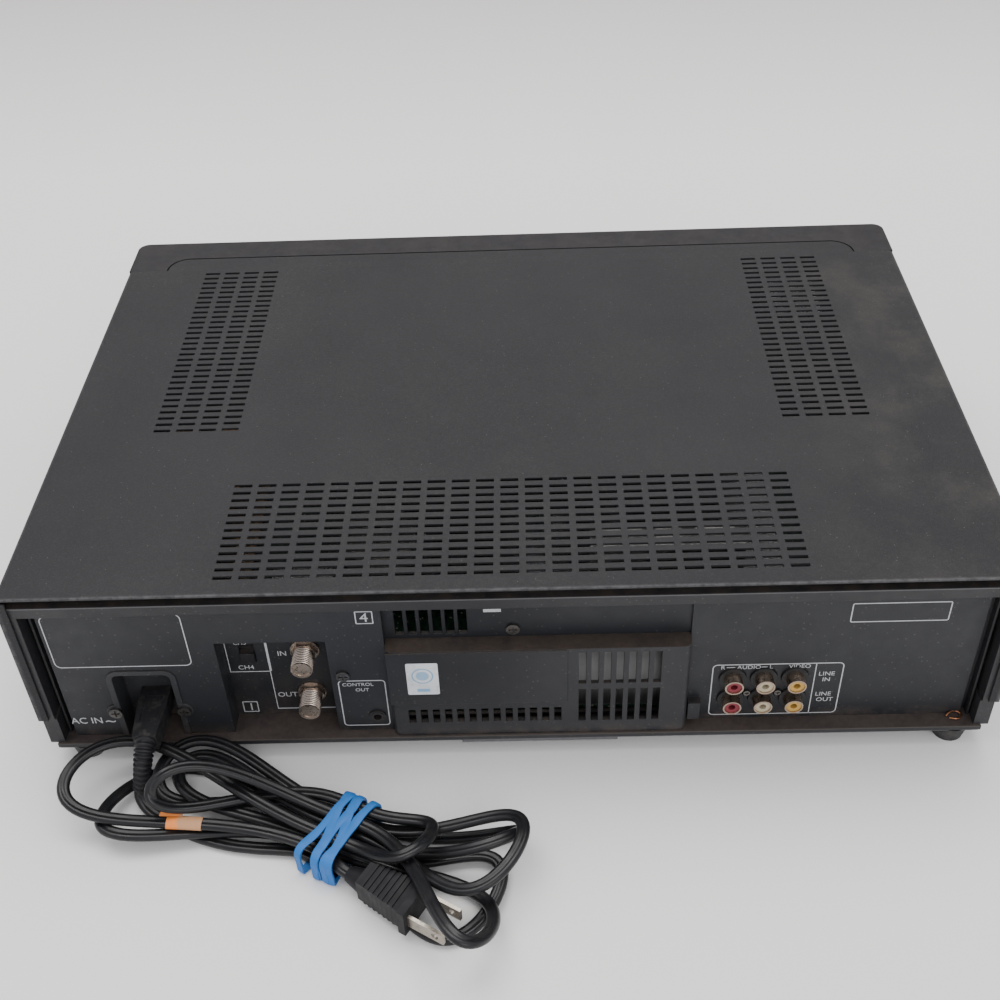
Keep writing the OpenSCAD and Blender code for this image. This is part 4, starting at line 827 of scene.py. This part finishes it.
def word(text, x, z, y, height, facing=1, wide=1.0, proud=0.05):
    """A plain printed word whose left end, as read, is at x, with capitals that are height tall."""
    curve = bpy.data.curves.new("word", "FONT")
    curve.body = text
    curve.size = 1
    curve.extrude = 0.02
    curve.resolution_u = 3
    holder = bpy.data.objects.new("word", curve)
    bpy.context.scene.collection.objects.link(holder)
    bpy.context.view_layer.update()
    mesh = bpy.data.meshes.new_from_object(holder)
    tall = height / CAPITALS
    points = []
    for v in mesh.vertices:
        raised = proud if v.co.z > 0 else 0
        points.append((x - facing * v.co.x * tall * wide, y + facing * raised, z + v.co.y * tall))
    faces = [tuple(f.vertices) for f in mesh.polygons]
    bpy.data.objects.remove(holder)
    bpy.data.meshes.remove(mesh)
    bpy.data.curves.remove(curve)
    return points, faces


def add_rear_print():
    """The white print of the rear panel, and the plain sticker."""
    parts = [
        outline(140.4, 201, 58, 90, Y_OUTER, 3),
        outline(58.6, 66.3, 81.6, 89.2, Y_OUTER, 0.5, 0.5),
        outline(57, 78.2, 15.4, 46, Y_OUTER, 2, 0.5),
        outline(119.2, 126.4, 13.6, 20.9, Y_RF, 0.5, 0.5),
        outline(-146, -88, 14.3, 48, Y_PHONO, 2.4, 0.5),
        outline(-186.5, -144.5, 73, 84.5, Y_PHONO, 1, 0.5),
        stroke(-133.9, -133.45, 14.6, 47.6, Y_PHONO),
        stroke(109.4, 110.4, 41.45, 60, Y_RF),
        stroke(110, 110.4, 16, 41, Y_RF),
        stroke(110, 128.4, 41, 41.45, Y_RF),
        stroke(128, 128.4, 41.45, 60, Y_RF),
        stroke(83.5, 110.4, 15.4, 16, Y_RF),
        stroke(4.4, 12, 82.4, 84.2, Y_SHELF),
        word("4", 64.4, 82.9, Y_OUTER, 5.2),
        word("1", 124.2, 14.8, Y_RF, 4.8),
        word("IN", 105.6, 51.2, Y_RF, 3),
        word("OUT", 109.1, 23.8, Y_RF, 3),
        word("CH3", 124.4, 58.95, Y_RF, 2.2),
        word("CH4", 124.4, 42.8, Y_RF, 2.6),
        word("AC IN", 203, 20.6, Y_OUTER, 4, wide=0.95),
        word("~", 187.4, 19.4, Y_OUTER, 6),
        word("R", -91.6, 44.9, Y_PHONO, 2.3),
        stroke(-98, -94.2, 45.8, 46.2, Y_PHONO),
        word("AUDIO", -98.8, 44.9, Y_PHONO, 2.3),
        stroke(-112.2, -109.6, 45.8, 46.2, Y_PHONO),
        word("L", -113, 44.9, Y_PHONO, 2.3),
        word("VIDEO", -121.6, 44.9, Y_PHONO, 2.3),
        word("CONTROL", 76.4, 42.3, Y_OUTER, 2),
        word("OUT", 70.8, 38.8, Y_OUTER, 2),
        word("LINE", -135.2, 39.6, Y_PHONO, 2.5),
        word("IN", -137.2, 35.8, Y_PHONO, 2.5),
        word("LINE", -135.2, 26.2, Y_PHONO, 2.5),
        word("OUT", -136, 22.4, Y_PHONO, 2.5),
    ]
    piece("rear_print", joined("rear_print", parts), MATERIALS["print"])
    x0, x1, z0, z1 = STICKER
    rim = STICKER_RIM
    middle = bar(x0, x1, Y_FACE - SUNK, Y_FACE + 0.1, z0, z1)
    sides = outline(x0 - rim, x1 + rim, z0 - rim, z1 + rim, Y_FACE, 0.8, 6.3, 0.12)
    piece("seal_sticker", joined("seal_sticker", [middle, sides]), MATERIALS["sticker"])


# Details that aren't solids: threads and insulators of the aerial sockets, a scrap of wire, the shield.

# The aerial sockets' places, and their thread: turns, pitch, outer and inner radius
AERIAL_X = 92.7
AERIAL_Z = (55.5, 27.8)
THREAD_TURNS = 9
THREAD_PITCH = 1.02
THREAD_R = 4.95
THREAD_ROOT = 4.71
# The points that the wire lies along, and its radius
CURL = [(-195.6, 141.4, 13.1), (-197.6, 139.8, 13.7), (-200.4, 138.6, 13.4), (-202.6, 140, 13),
        (-201.8, 142.4, 13), (-199.4, 143.4, 13.6), (-197.2, 142.4, 13.1)]
WIRE_R = 0.45
# The shield's box, the thickness of its tin, and its tabs: where they start, their width and height
SHIELD_X = (-106, -36)
SHIELD_Y = (79, 96)
SHIELD_Z = (22, 80)
TIN = 0.8
TAB_X = (-104, -72, -41)
TAB_W = 3
TAB_H = 4
# The sides of each label on its top, along X and Y, and their thickness
LABELS = [(-102, -84, 81, 88), (-78, -66, 84, 94), (-60, -40, 80.5, 86.5)]
LABEL_T = 0.4


def add_rear_hardware():
    """Threads and insulators of the two aerial sockets."""
    thread = [(Y_RF + 1.3, 4.2)]
    for i in range(THREAD_TURNS):
        y = Y_RF + 3.6 + i * THREAD_PITCH
        thread += [(y, THREAD_ROOT), (y + 0.3, THREAD_R), (y + 0.6, THREAD_R), (y + 0.9, THREAD_ROOT)]
    thread.append((Y_RF + 12.9, 4.3))
    threads = [lathe(thread, (AERIAL_X, z)) for z in AERIAL_Z]
    piece("aerial_threads", joined("aerial_threads", threads), MATERIALS["nickel"], smooth=30)
    core = [(Y_RF + 1.5, 2.6), (Y_RF + 11.9, 2.6), (Y_RF + 12.3, 2.2)]
    cores = [lathe(core, (AERIAL_X, z)) for z in AERIAL_Z]
    piece("aerial_cores", joined("aerial_cores", cores), MATERIALS["white_plastic"], smooth=40)


def add_scrap():
    """A curl of bare wire that lies on the ledge."""
    ring = oval(WIRE_R, WIRE_R, 10)
    scrap = mesh_of("wire_scrap", *sweep(smooth_line(CURL, 5), lambda i: ring))
    piece("wire_scrap", scrap, metal("bare_copper", (0.5, 0.23, 0.12), 0.38), smooth=50)


def add_inner_shield():
    """The tin shield that shows through the slots of the cover, on tabs that stand on the main board."""
    x0, x1 = SHIELD_X
    y0, y1 = SHIELD_Y
    z0, z1 = SHIELD_Z
    parts = [bar(x0, x1, y0, y0 + TIN, z0, z1), bar(x0, x1, y1 - TIN, y1, z0, z1),
             bar(x0, x1, y0 + TIN, y1 - TIN, z1 - TIN, z1),
             bar(x0, x0 + TIN, y0 + TIN, y1 - TIN, z0, z1 - TIN),
             bar(x1 - TIN, x1, y0 + TIN, y1 - TIN, z0, z1 - TIN)]
    parts += [bar(x, x + TAB_W, y, y + TIN, z0 - TAB_H, z0) for x in TAB_X for y in (y0, y1 - TIN)]
    piece("amplifier_shield", joined("amplifier_shield", parts),
          metal("stained_tin", (0.6, 0.6, 0.58), 0.34, tint=0.3, stain=0.9))
    labels = [bar(*sides, z1, z1 + LABEL_T) for sides in LABELS]
    piece("shield_labels", joined("shield_labels", labels),
          plastic("soiled_label", (0.62, 0.61, 0.57), 0.6, dust=0.4, edge=0, shift=0.4))


# Marks on the front, which faces -Y.

# Front planes of the keys and bezel, of the small keys and of the pocket behind the control door
FRONT = -147
SMALL_FRONT = -141
POCKET = -138
# Heights of the two rows of keys
KEY_Z = 88
SMALL_Z = 24
# Thickness of the front's print
PROUD = 0.03
# Centre of the dial and ring, and their ticks: how far out they lie, and their radius
DIAL_X = 150
DIAL_Z = 47
TICK_PLACE_R = 30.4
TICK_R = 0.45


def flat(points, y):
    """A printed shape on a plane that faces the front, from points of x and z."""
    n = len(points)
    both = [(x, y - PROUD, z) for x, z in points] + [(x, y + SUNK, z) for x, z in points]
    faces = [tuple(range(n)), tuple(range(2 * n - 1, n - 1, -1))]
    faces += [(i, n + i, n + (i + 1) % n, (i + 1) % n) for i in range(n)]
    return both, faces


def block(x, z, wide, high, y):
    """A rectangle round its centre."""
    return flat([(x - wide / 2, z - high / 2), (x + wide / 2, z - high / 2),
                 (x + wide / 2, z + high / 2), (x - wide / 2, z + high / 2)], y)


def arrow(x, z, size, way, y):
    """A triangle that points to +X where way is 1, and to -X where it is -1."""
    half = size / 2
    return flat([(x - way * half, z - half), (x + way * half, z), (x - way * half, z + half)], y)


def disc(x, z, r, y):
    return flat([(x + a, z + b) for a, b in oval(r, r, 20)], y)


def add_front_print():
    """Marks that ride on their keys, the words and ticks of the bezel, and the power lamp."""
    on_keys = {
        "play_button": [arrow(107.75, KEY_Z, 5, 1, FRONT)],
        "stop_button": [block(136.25, KEY_Z, 4.4, 4.4, FRONT)],
        "rewind_button": [arrow(x, KEY_Z, 4, -1, FRONT) for x in (162.6, 166.8)],
        "forward_button": [arrow(x, KEY_Z, 4, 1, FRONT) for x in (191.2, 195.4)],
        "eject_button": [block(-152, KEY_Z - 2.4, 6, 1, FRONT),
                         flat([(-155, KEY_Z - 1), (-149, KEY_Z - 1), (-152, KEY_Z + 2.6)], FRONT)],
        "power_button": [block(-190, KEY_Z, 0.9, 4.4, FRONT)],
        "pause_button": [block(x, SMALL_Z, 0.9, 3.4, SMALL_FRONT) for x in (-74.9, -73.1)],
        "record_button": [disc(-38, SMALL_Z, 1.7, SMALL_FRONT)],
        "channel_down_button": [block(-2, SMALL_Z, 3.6, 0.8, SMALL_FRONT)],
        "channel_up_button": [block(34, SMALL_Z, 3.6, 0.8, SMALL_FRONT),
                              block(34, SMALL_Z, 0.8, 3.6, SMALL_FRONT)],
    }
    for name, parts in on_keys.items():
        piece(name + "_mark", joined(name + "_mark", parts), MATERIALS["front_print"], name + "_body")
    words = [("POWER", -196.4, 76, FRONT, 2.6), ("EJECT", -157.4, 76, FRONT, 2.6),
             ("PLAY", 103.2, 76.8, FRONT, 2.4), ("STOP", 131.4, 78.2, FRONT, 2.2),
             ("REW", 161.2, 78.2, FRONT, 2.2), ("FF", 191.4, 77.4, FRONT, 2.4),
             ("SHUTTLE", 142, 14, FRONT, 2.4), ("PAUSE", -78.6, 30.4, POCKET, 1.9),
             ("REC", -41, 30.4, POCKET, 1.9), ("CH", -4.2, 30.4, POCKET, 1.9),
             ("CH", 31.8, 30.4, POCKET, 1.9)]
    parts = [word(text, x, z, y, tall, facing=-1, proud=PROUD) for text, x, z, y, tall in words]
    for angle in range(-60, 241, 30):
        a = math.radians(angle)
        x = DIAL_X + TICK_PLACE_R * math.cos(a)
        parts.append(disc(x, DIAL_Z + TICK_PLACE_R * math.sin(a), TICK_R, FRONT))
    parts.append(block(-20, 64.3, 190, 0.5, FRONT))
    piece("front_print", joined("front_print", parts), MATERIALS["front_print"])
    lens = plastic("red_lens", (0.25, 0.01, 0.01), 0.2, dust=0, edge=0)
    piece("power_lamp", joined("power_lamp", [disc(-163.6, 98.6, 1.1, FRONT)]), lens)


# Finishes of the added pieces.

MATERIALS = {
    "cord": rubber("cord_skin", (0.006, 0.006, 0.007), 0.34, dust=0.04, coat=0.1, shine=0.3),
    "relief": rubber("relief_rubber", (0.008, 0.008, 0.0095), 0.46, dust=0.06, shine=0.3),
    "band": rubber("blue_rubber", (0.016, 0.13, 0.4), 0.55, 0.00012, dust=0.04, shine=0.35),
    "tape": tape_paper(),
    "print": printed("white_print", (0.5, 0.51, 0.52)),
    "front_print": printed("front_print", (0.42, 0.43, 0.44)),
    "sticker": sticker_paper(),
    "nickel": metal("aged_nickel", (0.5, 0.42, 0.36), 0.3, stain=0.2),
    "white_plastic": plastic("white_insulator", (0.62, 0.6, 0.55), 0.45, dust=0.1, edge=0),
    "floor": floor_paper(),
}


def dress_nodes():
    """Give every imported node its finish. The keys share theirs."""
    bright = metal("bright_nickel", (0.72, 0.68, 0.6), 0.22)
    steel = metal("plated_steel", (0.52, 0.52, 0.52), 0.33)
    light = metal("aluminium", (0.75, 0.75, 0.76), 0.3)
    key = plastic("key_plastic", (0.03, 0.03, 0.034), 0.42, grain=0.00006)
    finishes = {
        "top_cover": cover_paint(),
        "chassis_frame": chassis_plastic(),
        "rear_panel": panel_plastic("panel_plastic", (0.0165, 0.0175, 0.0205), 0.46),
        "rear_vent_box": panel_plastic("vent_plastic", (0.0165, 0.017, 0.0195), 0.44, shelf=0.06),
        "front_bezel": plastic("bezel_plastic", (0.014, 0.014, 0.016), 0.52, shine=0.24, dust=0.08),
        "bottom_plate": metal("bottom_zinc", (0.2, 0.2, 0.21), 0.45),
        "feet": rubber("foot_rubber", (0.012, 0.012, 0.012), 0.6, dust=0.3),
        "screws": metal("dark_screws", (0.2, 0.19, 0.18), 0.36, stain=0.5),
        "display_window": smoked_glass(),
        "display_module": plastic("tube_glass", (0.06, 0.09, 0.1), 0.15, dust=0),
        "front_board": board("front_board_green", (0.02, 0.09, 0.03)),
        # The main board's green is darkened well below the front board's, as painted shade for the dark
        # inside of the case.
        "main_board": board("main_board_green_darkened_as_shade", (0.006, 0.022, 0.012)),
        "power_board": board("power_board_tan", (0.2, 0.11, 0.04)),
        "rf_jacks": metal("socket_nickel", (0.5, 0.42, 0.36), 0.3, stain=0.2),
        "tuner_can": light,
        "channel_switch": plastic("switch_black", (0.014, 0.014, 0.016), 0.4),
        "rca_block": plastic("block_black", (0.014, 0.014, 0.015), 0.5),
        "rca_shells": metal("aged_shells", (0.46, 0.36, 0.28), 0.3, stain=0.2),
        "rca_rings_red": plastic("ring_red", (0.2, 0.02, 0.03), 0.4, dust=0.1, edge=0),
        "rca_rings_white": plastic("ring_white", (0.44, 0.38, 0.26), 0.4, dust=0.1, edge=0),
        "rca_rings_yellow": plastic("ring_yellow", (0.5, 0.3, 0.07), 0.4, dust=0.1, edge=0),
        "control_jack": plastic("jack_black", (0.01, 0.01, 0.011), 0.4, edge=0),
        "ac_inlet": panel_plastic("inlet_plastic", (0.028, 0.029, 0.032), 0.48, 0.0155),
        "power_connector": rubber("connector_rubber", (0.011, 0.011, 0.0125), 0.55, 0.0001, 0.3, shine=0.35),
        "plug_body": rubber("plug_rubber", (0.006, 0.006, 0.0075), 0.5, dust=0.03, shine=0.2),
        "plug_blades": metal("worn_blades", (0.42, 0.38, 0.32), 0.34, stain=0.75),
        "power_transformer": metal("transformer_iron", (0.16, 0.14, 0.12), 0.5, (1, 40, 1)),
        "heat_sink": metal("dull_aluminium", (0.3, 0.3, 0.3), 0.4, (40, 1, 1)),
        "signal_shield": light,
        "deck_plate": steel,
        "lower_drum": light,
        "upper_drum": light,
        "capstan": bright,
        "capstan_motor": steel,
        "pinch_arm": steel,
        "pinch_roller": rubber("roller_rubber", (0.01, 0.01, 0.01), 0.55),
        "supply_reel": plastic("reel_plastic", (0.6, 0.56, 0.47), 0.5, edge=0),
        "cassette_cage": steel,
        "cage_slider": steel,
        "loading_motor": steel,
        "cam_gear": plastic("gear_plastic", (0.66, 0.63, 0.55), 0.45, edge=0),
        "cassette_door": plastic("door_plastic", (0.024, 0.024, 0.027), 0.38, grain=0.00005, dust=0.06),
        "jog_dial": plastic("dial_plastic", (0.05, 0.05, 0.055), 0.38),
        "shuttle_ring": plastic("shuttle_plastic", (0.028, 0.028, 0.031), 0.42),
    }
    same = {"control_door": "cassette_door", "take_up_reel": "supply_reel"}
    for name, node in NODES.items():
        finish = finishes.get(same.get(name, name), key)
        node.data.materials.clear()
        node.data.materials.append(finish)


add_camera()
add_lights()
cord, cord_path, cord_length = add_cord()
relief = add_relief()
band = add_band()
tape = add_tape()
add_stage()
dress_nodes()
add_rear_print()
add_rear_hardware()
add_scrap()
add_inner_shield()
add_front_print()
